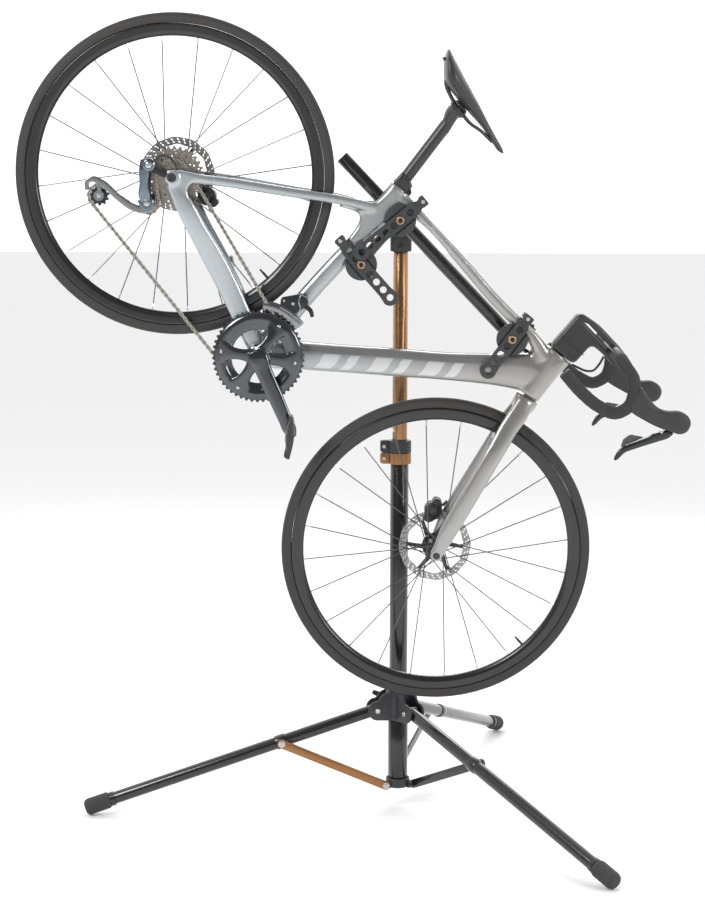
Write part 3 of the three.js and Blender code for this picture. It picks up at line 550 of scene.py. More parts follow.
# %% One builder for the plain finishes
def finish(name, dark, light, rough, metal=0.0, fine=900.0, broad=14.0, bump=0.15,
           stretch=(1, 1, 1), coat=0.0, coat_rough=0.08, wear=0.06, specular=0.5):
    """A material whose grain mask runs its colour dark to light and its roughness over rough."""
    look = bpy.data.materials.new(name)
    look.use_nodes = True
    tree = look.node_tree
    shader = tree.nodes["Principled BSDF"]
    shader.inputs["Metallic"].default_value = metal
    shader.inputs["Specular IOR Level"].default_value = specular
    shader.inputs["Coat Weight"].default_value = coat
    shader.inputs["Coat Roughness"].default_value = coat_rough
    where = add(tree, "TexCoord")
    grained = tree.nodes.new("ShaderNodeGroup")
    grained.node_tree = grain
    grained.inputs["Stretch"].default_value = stretch
    grained.inputs["Fine"].default_value = fine
    grained.inputs["Broad"].default_value = broad
    colour = add(tree, "Mix", data_type="RGBA")
    colour.inputs[6].default_value = (*dark, 1)
    colour.inputs[7].default_value = (*light, 1)
    gloss = add(tree, "MapRange")
    gloss.inputs["From Min"].default_value, gloss.inputs["From Max"].default_value = 0.3, 0.7
    gloss.inputs["To Min"].default_value, gloss.inputs["To Max"].default_value = rough
    marks = add(tree, "Math", operation="MULTIPLY_ADD")
    marks.inputs[1].default_value = wear
    relief = add(tree, "Bump")
    relief.inputs["Strength"].default_value = bump
    relief.inputs["Distance"].default_value = 0.0004
    link = tree.links.new
    link(where.outputs["Object"], grained.inputs["Vector"])
    link(grained.outputs["Mask"], colour.inputs[0])
    link(grained.outputs["Mask"], gloss.inputs["Value"])
    link(grained.outputs["Wear"], marks.inputs[0])
    link(gloss.outputs["Result"], marks.inputs[2])
    link(grained.outputs["Height"], relief.inputs["Height"])
    link(colour.outputs[2], shader.inputs["Base Color"])
    link(marks.outputs[0], shader.inputs["Roughness"])
    link(relief.outputs["Normal"], shader.inputs["Normal"])
    return look


def nodes_of(look, *names):
    """The first node of each kind in a material, to change a plain finish."""
    found = []
    for name in names:
        found.append(next(n for n in look.node_tree.nodes if n.bl_idname == "ShaderNode" + name))
    return found


DRAWN = (1, 1, 0.02)  # drawing lines run along an upright tube
black_tube = finish("anodised_black", (0.006, 0.006, 0.007), (0.016, 0.016, 0.018), (0.2, 0.3),
                    metal=0.25, fine=500, stretch=DRAWN, bump=0.05, coat=0.6, coat_rough=0.12)
copper_tube = finish("anodised_copper", (0.25, 0.135, 0.065), (0.45, 0.26, 0.135), (0.22, 0.34),
                     metal=0.9, fine=600, stretch=DRAWN, bump=0.08)
copper_plate = finish("anodised_copper_plate", (0.25, 0.12, 0.05), (0.43, 0.22, 0.1), (0.3, 0.42),
                      metal=0.85, fine=900, bump=0.12)
stand_plastic = finish("moulded_nylon", (0.018, 0.019, 0.021), (0.042, 0.043, 0.047), (0.4, 0.56),
                       fine=1400, bump=0.5, broad=30)
foot_rubber = finish("foot_rubber", (0.02, 0.02, 0.021), (0.05, 0.05, 0.052), (0.6, 0.8),
                     fine=1100, bump=0.6, broad=40, wear=-0.1)
bronze_bolt = finish("bronze_bolt", (0.24, 0.15, 0.085), (0.62, 0.44, 0.29), (0.22, 0.4), metal=1.0,
                     fine=2500, bump=0.1)
bright_steel = finish("bright_steel", (0.42, 0.42, 0.42), (0.66, 0.66, 0.65), (0.18, 0.34),
                      metal=1.0,
                      fine=2500, bump=0.08, wear=0.12)
dark_steel = finish("dark_steel", (0.03, 0.03, 0.032), (0.1, 0.1, 0.105), (0.28, 0.42), metal=0.9,
                    fine=2500, bump=0.1)
# Near-black matt finish that is painted shade: it stands in for the dark inside of key holes and gaps.
painted_shade_black = finish("key_hole", (0.002, 0.002, 0.002), (0.006, 0.006, 0.006), (0.7, 0.9))
print("plain finishes:", len(bpy.data.materials))

# %% [markdown]
# ## Tripod
#
# Three gloss legs hang in slots of a moulded hub that slides on the mast. Each leg is held by a
# flat strut from the collar at the mast's foot. A leg is drawn once, in its own plane with x
# outward, and turned to its azimuth. The joints give the azimuth: the fold axis lies square to
# the leg.

# %% Legs, feet and struts
LEG_PIVOT = (49.0, 228.0)  # radius and height of the leg's pin, mm
STRUT_PIVOT = (30.0, 54.0)
LEG_R, FOOT_R, FOOT_LENGTH = 14.0, 19.0, 60.0
STRUT_ON_LEG, STRUT_SIDE = 230.0, 22.0
FOOT_REACH = 682.0
slope = 0.3
for _ in range(8):
    foot_height = FOOT_R * math.cos(slope) + FOOT_LENGTH / 2 * math.sin(slope)
    slope = math.atan((LEG_PIVOT[1] - foot_height) / (FOOT_REACH - LEG_PIVOT[0]))
LEG_LENGTH = (FOOT_REACH - LEG_PIVOT[0]) / math.cos(slope) + FOOT_LENGTH / 2


def on_leg(s, side=0.0, above=0.0):
    """Point at s mm along the leg's line, side mm beside it and above mm over it."""
    return (LEG_PIVOT[0] + s * math.cos(slope) + above * math.sin(slope), side,
            LEG_PIVOT[1] - s * math.sin(slope) + above * math.cos(slope))


print("leg length", round(LEG_LENGTH, 1), "mm")

# %% Shapes of a leg, its foot and its strut
leg_tube = turned([(0, 0), (LEG_R - 1.5, 0), (LEG_R, 2), (LEG_R, LEG_LENGTH - FOOT_LENGTH + 6),
                   (0, LEG_LENGTH - FOOT_LENGTH + 6)],
                  40, on_leg(0), np.subtract(on_leg(1), on_leg(0)), soften=1.0)
leg_eye = turned([(0, -14.4), (12, -14.4), (LEG_R + 0.4, -12), (LEG_R + 0.4, 12), (12, 14.4),
                  (0, 14.4)],
                 36, (LEG_PIVOT[0], 0, LEG_PIVOT[1]), soften=1.0)
leg_sleeve = turned([(LEG_R, -13), (LEG_R + 1.6, -12), (LEG_R + 2.4, -9), (LEG_R + 2.4, 9),
                     (LEG_R + 1.6, 12), (LEG_R, 13), (LEG_R - 2, 13), (LEG_R - 2, -13)], 40,
                    on_leg(STRUT_ON_LEG), np.subtract(on_leg(1), on_leg(0)), ring=True)
strut_boss = rod(on_leg(STRUT_ON_LEG), on_leg(STRUT_ON_LEG, STRUT_SIDE - 3.1), 8.8, 28, edge=1.2)
end_cap_ring = turned([(LEG_R, -9), (LEG_R + 2.2, -8), (LEG_R + 2.2, 2), (LEG_R, 3), (LEG_R - 2, 3),
                       (LEG_R - 2, -9)],
                      40, on_leg(LEG_LENGTH - FOOT_LENGTH - 2), np.subtract(on_leg(1), on_leg(0)),
                      ring=True)
GROOVES = [(FOOT_R - 0.2, s) for s in range(12, 48, 6)]
foot_profile = [(0, 0.4), (FOOT_R - 4, 0.4), (FOOT_R - 0.6, 5)]
for radius, s in GROOVES:
    foot_profile += [(radius, s - 1.2), (radius - 1.1, s), (radius, s + 1.2)]
foot_profile += [(FOOT_R - 0.3, 50), (FOOT_R - 2.5, 56), (FOOT_R - 7, 59.6), (0, 59.8)]
foot_cap = turned(foot_profile, 40, on_leg(LEG_LENGTH - FOOT_LENGTH),
                  np.subtract(on_leg(1), on_leg(0)),
                  soften=1.0)


def strut_bar():
    """A flat bar with round ends: two half circles about its two pins, joined by straight sides."""
    a, b = np.array(STRUT_PIVOT), np.array(on_leg(STRUT_ON_LEG))[[0, 2]]
    heading = math.atan2(*(b - a)[::-1])
    half = np.linspace(-math.pi / 2, math.pi / 2, 13)
    far = np.stack([b[0] + 9.8 * np.cos(heading + half), b[1] + 9.8 * np.sin(heading + half)], 1)
    near = np.stack([a[0] - 9.8 * np.cos(heading + half), a[1] - 9.8 * np.sin(heading + half)], 1)
    return plate(np.vstack([far, near]), STRUT_SIDE - 2.4, STRUT_SIDE + 2.4, edge=0.8)


def strut_screws():
    pins = []
    for x, z in (STRUT_PIVOT, (on_leg(STRUT_ON_LEG)[0], on_leg(STRUT_ON_LEG)[2])):
        pins.append(turned([(0, 0), (7.5, 0), (7.5, 1.0), (0, 1.0)], 24, (x, STRUT_SIDE + 2.5, z),
                           soften=0.3))
        pins.append(socket_screw((x, STRUT_SIDE + 3.4, z), (0, 1, 0), 4.6, 2.8))
    return pins


print("leg shapes ready")


# %% Three legs, each turned to its azimuth
def leg_azimuth(name):
    """The leg's direction round the mast, which lies square to its fold axis."""
    fold = joints[f"leg_{name}_fold"]["axis"]
    return math.atan2(-fold[0], fold[1])


LEGS = ("left", "right", "rear")
for name in LEGS:
    azimuth = leg_azimuth(name)
    spin = turns_about(2, azimuth)

    def place(points, spin=spin):
        return on_stand(points @ spin[0].T)

    piece(f"leg_{name}_tube", [leg_tube, leg_eye, leg_sleeve, strut_boss, end_cap_ring], place,
          "leg_" + name, black_tube, [f"leg_{name}"])
    piece(f"foot_{name}_cap", foot_cap, place, "leg_" + name, foot_rubber,
          [f"foot_{name}"])
    piece(f"strut_{name}_bar", strut_bar(), place, "strut_" + name,
          copper_plate if name == "left" else black_tube,
          [f"strut_{name}"])
    piece(f"strut_{name}_screws", strut_screws(), place, "strut_" + name, bright_steel)
    print(f"leg {name}: azimuth {math.degrees(azimuth):.1f}, slope {math.degrees(slope):.1f}")

# %% [markdown]
# ## Hub and base collar
#
# The hub is one moulding: three pairs of cheeks round a core. Cheeks are flat plates with a
# round end, so each is drawn as an outline and given a thickness, with a chromed screw through
# both.

# %% Leg hub, base collar and hub lever
HUB_LOW, HUB_HIGH = 205.0, 272.0
CORE_R, SLEEVE_R = 28.0, 22.5
r0, z0 = LEG_PIVOT
lobe_arc = [(r0 + 22.2 * math.cos(t),
             z0 + 22.2 * math.sin(t)) for t in np.linspace(-1.57, 1.57, 22)]
cheek_outline = rounded([(10, HUB_LOW), *lobe_arc, (r0 - 8, HUB_HIGH - 9), (24, HUB_HIGH),
                         (10, HUB_HIGH)], 3)
cheek = [plate(cheek_outline, side * 18 - 2.9, side * 18 + 2.9, edge=1.2) for side in (-1, 1)]
back_web = plate(rounded([(10, HUB_LOW + 2), (27.5, HUB_LOW + 2), (27.5, HUB_HIGH - 6),
                          (10, HUB_HIGH - 2)], 2), -15.5, 15.5, edge=0)
hub_core = turned([(SLEEVE_R + 0.4, HUB_LOW), (CORE_R - 1.5, HUB_LOW), (CORE_R, HUB_LOW + 2),
                   (CORE_R, HUB_HIGH - 3), (CORE_R - 3, HUB_HIGH), (SLEEVE_R + 0.4, HUB_HIGH)], 48,
                  axis=(0, 0, 1), ring=True)
core_rings = [turned([(CORE_R - 1, z - 1.6), (CORE_R + 1.1, z - 1.2), (CORE_R + 1.1, z + 1.2),
                      (CORE_R - 1, z + 1.6)],
                     48, axis=(0, 0, 1), ring=True) for z in (HUB_LOW + 9, HUB_HIGH - 10)]
hub_screws = [socket_screw((r0, side * 20.6, z0), (0, side, 0), 5.6, 2.6) for side in (-1, 1)]
hub_pin = [rod((r0, -20.8, z0), (r0, 20.8, z0), 4.0, 20)]
collar_ear = [plate(rounded([(16, 45.5), (30, 45.2), (39, 54), (30, 63), (16, 63)], 6), 9.2,
                    STRUT_SIDE - 3.2, edge=1.0)]
around = turns_about(2, [leg_azimuth(name) for name in LEGS])
nowhere = np.zeros((3, 3))
piece("leg_hub_moulding", [copies(joined(*cheek, back_web), nowhere, around), hub_core,
                           *core_rings],
      on_stand, "leg_hub", stand_plastic, ["leg_hub"])
piece("leg_hub_screws", copies(joined(*hub_screws, *hub_pin), nowhere, around), on_stand, "leg_hub",
      bright_steel)
collar_cup = turned([(0, 45), (18, 45), (24, 47), (26.8, 51), (27, 66.5), (26, 68),
                     (SLEEVE_R + 0.4, 68),
                     (SLEEVE_R + 0.4, 51), (0, 51)], 48, axis=(0, 0, 1), soften=0.8)
piece("base_collar_cup", [collar_cup, copies(joined(*collar_ear), nowhere, around)], on_stand,
      "mast",
      stand_plastic, ["base_collar"])
lever_path = curve([(-22, 50, 240, 6, 4.3), (-32, 51, 242, 7, 4.3), (-46, 51, 249, 6.6, 4),
                    (-58, 50.5, 254, 5, 3)], 16)
lever_cap = turned([(0, 25.7), (8.8, 25.7), (8.8, 44), (7, 47), (0, 47)], 32, (-22, 0, 240),
                   soften=1.2)
piece("hub_lever_grip", [lever_cap,
                         tube(lever_path[:, :3], lever_path[:, 3:], 20, across=(0, 1, 0), dome=0)],
      on_stand, "hub_lever", stand_plastic, ["hub_lever"])
print("hub pieces made")

# %% [markdown]
# ## Mast
#
# Three tubes slide in each other, black below and copper above. Each split clamp squeezes the
# tube that comes out of it. The ears carry a hexagon screw in front, and the quick-release
# lever is wrapped round the back.

# %% Mast tubes, split clamps and levers
MIDDLE_R, TOP_R, LOWER_R = 18.3, 16.5, 20.5
LOWER_TOP = 800.0


def pipe(radius, hole, low, high, sides=64):
    """An upright pipe: a closed rectangular profile with softened rims, turned about the mast."""
    profile = [(hole, low), (radius - 0.6, low), (radius, low + 0.8), (radius, high - 0.8),
               (radius - 0.6, high), (hole, high)]
    return turned(profile, sides, axis=(0, 0, 1), ring=True)


piece("mast_lower_pipe", [pipe(LOWER_R, MIDDLE_R + 0.4, 202, LOWER_TOP),
                          pipe(SLEEVE_R, MIDDLE_R + 0.4, 51.5, 204)],
      on_stand, "mast", black_tube, ["mast_lower_tube"])
piece("mast_middle_pipe", pipe(MIDDLE_R, TOP_R + 0.4, 90, 839), on_stand, "middle_stage",
      black_tube,
      ["mast_middle_tube"])
piece("mast_top_pipe", pipe(TOP_R, TOP_R - 2, 560, 1304), on_stand, "top_stage", copper_tube,
      ["mast_top_tube"])


def split_clamp(low, high, radius, hole):
    """A band with a slit towards -x: a section swept most of the way round, with two ears."""
    mid, half = (low + high) / 2, (high - low) / 2
    sweep = np.linspace(math.pi + 0.1, 3 * math.pi - 0.1, 56)
    section = rounded([(hole, -half), (radius - 1, -half), (radius, -half + 1), (radius, half - 1),
                       (radius - 1, half), (hole, half)], 1.0)
    rings = np.stack([np.outer(np.cos(sweep), section[:, 0]),
                      np.outer(np.sin(sweep), section[:, 0]),
                      mid + np.outer(np.ones(len(sweep)), section[:, 1])], -1)
    ear = rounded([(-radius - 17.5, low + 3), (-radius - 11, low), (-radius + 5, low),
                   (-radius + 5, high),
                   (-radius - 11, high), (-radius - 17.5, high - 3)], 2.5)
    ears = [plate(ear, 1.4, 8.8, edge=0.8), plate(ear, -8.8, -1.4, edge=0.8)]
    notch = [turned([(0, -9.3), (4.6, -9.3), (4.6, -8.4), (0, -8.4)], 24, (-radius - 9, 0, mid))]
    return [with_skin(rings), *ears, *notch]


def clamp_lever(low, high):
    """The quick-release: an outline seen from above, given the clamp's height."""
    outline = rounded([(-44, 13), (-43, 20), (-36, 25), (-24, 31.5), (-10, 35.6), (8, 36.8),
                       (8.5, 33.2),
                       (-10, 31.8), (-24, 27), (-32, 20), (-33, 13), (-38, 10)], 2.5)
    points, faces = plate(outline, low + 2.7, high - 2.7, edge=1.0)
    return outward((points[:, [0, 2, 1]], faces))


CLAMPS = {  # height range, its own body and lever, and finishes
    "lower": ((792.0, 817.0), "mast", copper_plate, "stand_copper"),
    "upper": ((817.5, 845.0), "middle_stage", stand_plastic, "stand_plastic"),
}
for name, ((low, high), body, look, slot_name) in CLAMPS.items():
    hole = (MIDDLE_R if name == "lower" else TOP_R) + 0.4
    piece(f"{name}_mast_clamp_band", split_clamp(low, high, 26.0, hole), on_stand, body, look,
          [f"{name}_mast_clamp"])
    piece(f"{name}_mast_clamp_screw",
          [socket_screw((-35, -9.2, (low + high) / 2), (0, -1, 0), 4.2, 3.4),
                                       rod((-35, -9, (low + high) / 2), (-35, 12, (low + high) / 2),
                                           2.6)],
          on_stand, body, bright_steel)
    piece(f"{name}_clamp_lever_arm", clamp_lever(low, high), on_stand, f"{name}_clamp_lever", look,
          [f"{name}_clamp_lever"])
print("mast pieces made")

# %% [markdown]
# ## Tilt head and frame clamp
#
# The top tube ends in a socket with a barrel across it. A beam and a short arm turn in the
# barrel and carry three discs. Each disc has a channel across its face for a flat bar with a
# row of holes, and each bar ends in a hook that holds a frame tube.

# %% Head, beam and arm
DISCS = {  # middle, face height, direction of the bar, its hook end and its far end, mm
    1: ((-67.0, 411.0), -38.0, (9, -105), 57, 105),
    2: ((-36.0, 290.0), -31.0, (154, 19), 62, 93),
    3: ((278.0, 466.0), -31.0, (27, -80), 50, 84),
}
POST_ENDS = {1: 21.6, 2: 25.6, 3: 24.6}
BEAM_Y, BEAM_R = 40.0, 14.5
pivot = DISCS[1][0]
socket_low, socket_high = 1266.0, 1347.0


def bike_to_stand(points):
    """The same place on the stand's axes: undo on_stand after on_bike."""
    return (on_bike(points) - mast_zero) / MM


head_block = rounded([(-23.6, -26.6), (23.6, -26.6), (23.6, 18.6), (-23.6, 18.6)], 9, steps=6)
block_points, block_faces = plate(head_block, socket_low + 0.2, socket_high, edge=3.0)
head_shells = [outward((block_points[:, [0, 2, 1]], block_faces))]
for radius, low, high in ((26.8, 59.2, 150), (21.8, 149, 195.8), (27.0, 84, 92), (27.0, 118, 126)):
    barrel = turned([(0, low), (radius - 1.5, low), (radius, low + 1.5), (radius, high - 1.5),
                     (radius - 1.5, high), (0, high)], 48, (pivot[0], 0, pivot[1]), soften=0.6)
    head_shells.append((bike_to_stand(barrel[0]), barrel[1]))
piece("tilt_head_casting", head_shells, on_stand, "top_stage", stand_plastic,
      ["mast_head"])
piece("tilt_head_screw", [socket_screw((0, -26.5, socket_low + 14), (0, -1, 0), 5.0, 2.4)],
      on_stand,
      "top_stage", dark_steel)

lever_line = curve([(pivot[0], 205, pivot[1], 8, 6), (-90, 206.5, 406, 7.5, 6),
                    (-120, 207.5, 398, 7, 6),
                    (-146, 207, 391.5, 6.5, 5)], 20)
piece("tilt_lever_grip", [rod((pivot[0], 196.6, pivot[1]), (pivot[0], 208, pivot[1]), 15.8, 40,
                              edge=2),
                          tube(lever_line[:, :3], lever_line[:, 3:], 20, across=(0, 1, 0), dome=4)],
      on_bike, "tilt_lever", stand_plastic, ["tilt_lever"])

first, second, third = (np.array(DISCS[n][0]) for n in (1, 2, 3))
run = (third - first) / np.linalg.norm(third - first)


def on_beam(s):
    x, z = first + run * s
    return (x, BEAM_Y, z)


span = np.linalg.norm(third - first)
beam = [rod(on_beam(-175.6), on_beam(span + 21.6), BEAM_R, 40, edge=1.5),
        turned([(0, 22.2), (28, 22.2), (29.8, 24), (29.8, 56), (28, 57.8), (0, 57.8)], 48,
               (first[0], 0, first[1]), soften=0.6),
        turned([(0, 25.2), (18.6, 25.2), (19.8, 27), (19.8, 56), (18.6, 57.8), (0, 57.8)], 40,
               (third[0], 0, third[1]), soften=0.6)]
plug = turned([(BEAM_R - 0.4, 0), (BEAM_R + 0.2, 0.6), (BEAM_R + 0.2, 5), (BEAM_R - 0.4, 6)], 40,
              on_beam(-173), (-run[0], 0, -run[1]))
piece("clamp_beam_tube", [*beam, plug], on_bike, "bike", black_tube, ["clamp_beam"])
lean = (second - first) / np.linalg.norm(second - first)
arm_start = first + lean * 30.8
piece("clamp_arm_tube", [rod((arm_start[0], BEAM_Y, arm_start[1]), (second[0], BEAM_Y, second[1]),
                             11.8, 36),
                         turned([(0, 26.2), (16.6, 26.2), (17.8, 28), (17.8, 54), (16.6, 55.8),
                                 (0, 55.8)], 40,
                                (second[0], 0, second[1]), soften=0.6)],
      on_bike, "bike", black_tube, ["clamp_arm"])

# %% Discs and hook bars
BAR_HALF_WIDTH, TIP_R, HOLE_R, HOLE_STEP = 14.8, 17.8, 7.3, 22.0
MOON_R, MOON_EDGE = 33.6, 18.8  # the half moons' radius, and their distance from the bar's middle
for n, (middle, face, heading, hook, far) in DISCS.items():
    middle = np.array(middle)
    u = np.array(heading, float) / np.linalg.norm(heading)
    w = np.array([-u[1], u[0]])

    def at(s, side, middle=middle, u=u, w=w):
        return tuple(middle + u * s + w * side)

    # The disc: a lathe, with two raised half moons that leave a channel for the bar.
    low = face + 6.1
    body = turned([(0, low), (33, low), (33.8, low + 0.8), (33.8, low + 3), (33, low + 3.8),
                   (11.8, low + 3.8),
                   (11.8, POST_ENDS[n]), (0, POST_ENDS[n])], 56, (middle[0], 0, middle[1]),
                  soften=0.4)
    moons = []
    reach = math.acos(MOON_EDGE / MOON_R)
    for side in (1, -1):
        moon = [at(MOON_R * math.sin(t), side * MOON_R * math.cos(t))
                for t in np.linspace(-reach, reach, 26)]
        moons.append(plate(moon, face + 0.2, low + 0.4, edge=0.8))
    rib = turned([(30.0, low - 0.2), (31.4, low - 0.2), (31.4, low - 0.45), (30.0, low - 0.45)],
                 40, (middle[0], 0, middle[1]), ring=True)
    piece(f"clamp_disc_{n}_plate", [body, *moons, rib], on_bike, "bike", stand_plastic,
          [f"clamp_disc_{n}"])
    # The bar: one outline with its row of holes, and a jaw bent back at the hook end.
    tip = [at(far + TIP_R * math.cos(t), TIP_R * math.sin(t)) for t in np.linspace(-1.5, 1.5, 24)]
    outline = [at(-hook - 11.8, -10), at(-hook + 6, -10), at(-hook + 14, -BAR_HALF_WIDTH),
               at(far - 16, -BAR_HALF_WIDTH), *tip, at(far - 16, BAR_HALF_WIDTH),
               at(-hook + 14, BAR_HALF_WIDTH), at(-hook + 6, 10), at(-hook - 11.8, 10)]
    outline = rounded(outline, 3)
    spots = [s for s in far - HOLE_STEP * np.arange(12) if s > -hook + 12 and abs(s) > 9]
    holes = [circle(*at(s, 0), HOLE_R, 28) for s in spots]
    strip = plate(outline, face + 0.6, face + 5.4, holes, edge=0.9)
    jaw = plate(rounded([at(-hook - 11.8, -11), at(-hook - 0.2, -11), at(-hook - 0.2, 11),
                         at(-hook - 11.8, 11)], 3),
                face + 3, 5.8, edge=1.2)
    pad = plate(rounded([at(-hook - 2.2, -9), at(-hook - 0.1, -9), at(-hook - 0.1, 9),
                         at(-hook - 2.2, 9)], 0.8),
                face + 7, 5.2, edge=0.4)
    cap = plate(rounded([at(-hook - 12.4, -11.4), at(-hook + 3, -11.4), at(-hook + 3, 11.4),
                         at(-hook - 12.4, 11.4)], 3),
                face + 0.2, face + 3.4, [circle(*at(-hook - 5, 0), 4.4, 24)], edge=1)
    piece(f"clamp_bar_{n}_strip", strip, on_bike, f"clamp_bar_{n}", stand_plastic,
          [f"clamp_bar_{n}"])
    piece(f"clamp_bar_{n}_jaw", [jaw, pad, cap], on_bike, f"clamp_bar_{n}", foot_rubber)
    rivet = turned([(0, face + 3), (4.2, face + 3), (4.2, face - 0.2), (3.4, face - 0.9),
                    (0, face - 0.9)], 24,
                   (at(-hook - 5, 0)[0], 0, at(-hook - 5, 0)[1]), soften=0.3)
    piece(f"clamp_bar_{n}_rivet", rivet, on_bike, f"clamp_bar_{n}", bright_steel)
    bolt = turned([(0, face + 2), (4.4, face + 2), (4.8, face - 2.4), (8.2, face - 2.4),
                   (9.2, face - 1.2),
                   (9.6, face + 0.6), (0, face + 0.6)], 36, (middle[0], 0, middle[1]), soften=0.4)
    piece(f"clamp_disc_{n}_bolt", bolt, on_bike, "bike", bronze_bolt)
    # The key hole is painted shade: a near-black six-sided disc on the bolt's face stands in for the
    # dark recess.
    key = turned([(0, face - 2.5), (3.6, face - 2.5), (3.6, face - 1), (0, face - 1)], 6,
                 (middle[0], 0, middle[1]))
    piece(f"clamp_disc_{n}_key_hole", key, on_bike, "bike", painted_shade_black)
    print(f"bar {n}: {len(holes)} holes")

# %% [markdown]
# ## Frame
#
# The frame is moulded in one, so its tubes are lofts whose section changes all the way: deep
# and square-cornered at the head, round near the seat. A tube is a list of stations, each with a
# place, a half depth and a half width, run through a smooth curve. Where tubes meet they simply
# pass into each other, as they do in the CAD frame.

# %% Paint with a metal flake
paint = finish("silver_paint", (0.34, 0.345, 0.35), (0.5, 0.5, 0.5), (0.26, 0.36), metal=0.75,
               fine=4200,
               broad=5, bump=0.03, coat=1.0, coat_rough=0.05, wear=0.02)
tree = paint.node_tree
colour, = nodes_of(paint, "Mix")
where, = nodes_of(paint, "TexCoord")
split = add(tree, "SeparateXYZ")
along_bike = add(tree, "MapRange")
along_bike.inputs["From Min"].default_value = float(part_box("rear_hub_spokes")[0].x)
along_bike.inputs["From Max"].default_value = float(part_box("front_hub_spokes")[1].x)
cool_warm = add(tree, "ValToRGB")
stops = cool_warm.color_ramp.elements
stops[0].position, stops[0].color = 0.15, (0.44, 0.49, 0.525, 1)
stops[1].position, stops[1].color = 0.95, (0.36, 0.345, 0.32, 1)
tint = add(tree, "Mix", data_type="RGBA", blend_type="MULTIPLY")
tint.inputs[0].default_value = 1.0
tree.links.new(where.outputs["Object"], split.inputs[0])
tree.links.new(split.outputs["X"], along_bike.inputs["Value"])
tree.links.new(along_bike.outputs["Result"], cool_warm.inputs["Fac"])
colour.inputs[6].default_value = (0.80, 0.80, 0.80, 1)
colour.inputs[7].default_value = (1.0, 1.0, 1.0, 1)
tree.links.new(colour.outputs[2], tint.inputs[6])
tree.links.new(cool_warm.outputs["Color"], tint.inputs[7])
tree.links.new(tint.outputs[2], tree.nodes["Principled BSDF"].inputs["Base Color"])

graphic = finish("graphic_grey", (0.16, 0.16, 0.157), (0.22, 0.22, 0.215), (0.3, 0.4), metal=0.5,
                 fine=4000,
                 broad=5, bump=0.02, coat=1.0)
graphic_light = finish("graphic_light", (0.5, 0.505, 0.51), (0.58, 0.585, 0.585), (0.26, 0.36),
                       metal=0.6,
                       fine=4000, broad=5, bump=0.02, coat=1.0)
carbon = finish("matt_carbon", (0.012, 0.012, 0.013), (0.03, 0.03, 0.032), (0.36, 0.5), fine=700,
                broad=24,
                bump=0.12, coat=0.15)
print("paint from", round(along_bike.inputs["From Min"].default_value, 3))


# %% Tubes on the bicycle
def bike_tube(stations, count=48, sides=36, square=1.0, dome=0.0):
    """A tube through rows of x, y, z, half depth, half width. Its depth is upright."""
    line = curve(stations, count)
    return tube(line[:, :3], line[:, 3:5], sides, across=(0, 1, 0), square=square, dome=dome)


print("tube helper ready")

# %% Stations of the frame's tubes
REAR_AXLE, FRONT_AXLE = (-412.0, 70.0), (574.0, 70.0)
HEAD_TOP, HEAD_LOW = np.array((376.5, 531.0)), np.array((410.0, 425.0))
DOWN_TUBE = [(4, 0, 6, 28, 27), (50, 0, 64, 30, 25), (109, 0, 138, 30, 22), (182, 0, 230, 30, 21),
             (256, 0, 322, 30, 20), (312, 0, 394, 34, 21), (362, 0, 455, 40, 23),
             (388, 0, 478, 33, 21)]
SEAT_TUBE = [(0, 0, 0, 24, 26), (-18, 0, 60, 22, 22), (-46, 0, 160, 20, 17), (-67, 0, 250, 20, 17),
             (-84, 0, 330, 20, 17), (-106, 0, 400, 23, 17.5), (-123, 0, 449, 22, 17.5)]
TOP_TUBE = [(-112, 0, 432, 22, 16), (-49, 0, 450, 12, 16), (91, 0, 471.5, 11.8, 16),
            (188, 0, 483, 13, 17),
            (250, 0, 494, 13.5, 18), (310, 0, 505, 15, 20), (354, 0, 502, 18, 22)]
HEAD_TUBE = [(366, 0, 530.5, 30, 23), (378, 0, 486, 30, 23.5), (400, 0, 428, 28, 25)]
SEAT_STAY = [(-404, 67, 84, 10, 6), (-345, 62, 151, 10.5, 7), (-250, 43, 250, 10.5, 7),
             (-172, 27, 332, 10.5, 8), (-112, 9, 384, 11, 9)]
CHAIN_STAY = [(-400, 67.5, 62, 14, 6), (-337, 67, 55.5, 20, 7), (-290, 60, 49, 21, 8),
              (-237, 47, 43, 23, 9),
              (-150, 32, 30, 23, 9), (-97, 29, 20, 22, 9), (-5, 27, 4, 20, 12)]
print("down tube stations:", len(DOWN_TUBE))

# %% Frame skin
seat_stay = bike_tube(SEAT_STAY, 44, 28, 0.85)
chain_stay = bike_tube(CHAIN_STAY, 44, 32, 0.75)
dropouts = []
for side in (-1, 1):
    low, high = sorted((side * 70.9, side * 76.9))
    rim_line = [(-412 + 16.5 * math.cos(t), 70 + 16.5 * math.sin(t)) for t in ring_angles(36)]
    dropouts.append(plate(rim_line, low, high, [circle(*REAR_AXLE, 6.4, 24)], edge=1.2))
shell = turned([(19, -43), (23, -43), (24, -42), (24, 42), (23, 43), (19, 43)], 48, soften=0.5,
               ring=True)
frame_shells = [bike_tube(DOWN_TUBE, 60, 40, 0.72), bike_tube(SEAT_TUBE, 56, 40, 0.82),
                bike_tube(TOP_TUBE, 56, 36, 0.72), bike_tube(HEAD_TUBE, 24, 44, 0.85, dome=2.5),
                seat_stay, mirrored(seat_stay), chain_stay, mirrored(chain_stay), shell, *dropouts]
BLENDS = [  # webs that fill the corners between tubes, as the moulding does
    [(340, 0, 500, 22, 20), (356, 0, 478, 30, 20), (372, 0, 452, 34, 21)],
    [(-10, 0, 10, 24, 25), (20, 0, 24, 30, 25), (44, 0, 56, 28, 24)],
]
CLUSTER = [(-164, 348), (-141, 374), (-128, 388), (-131, 413), (-139, 443), (-100, 440), (-80, 400),
           (-70, 330),
           (-80, 292), (-96, 293), (-103.5, 318), (-111, 334), (-119, 343), (-127, 346),
           (-140, 338), (-166, 316)]
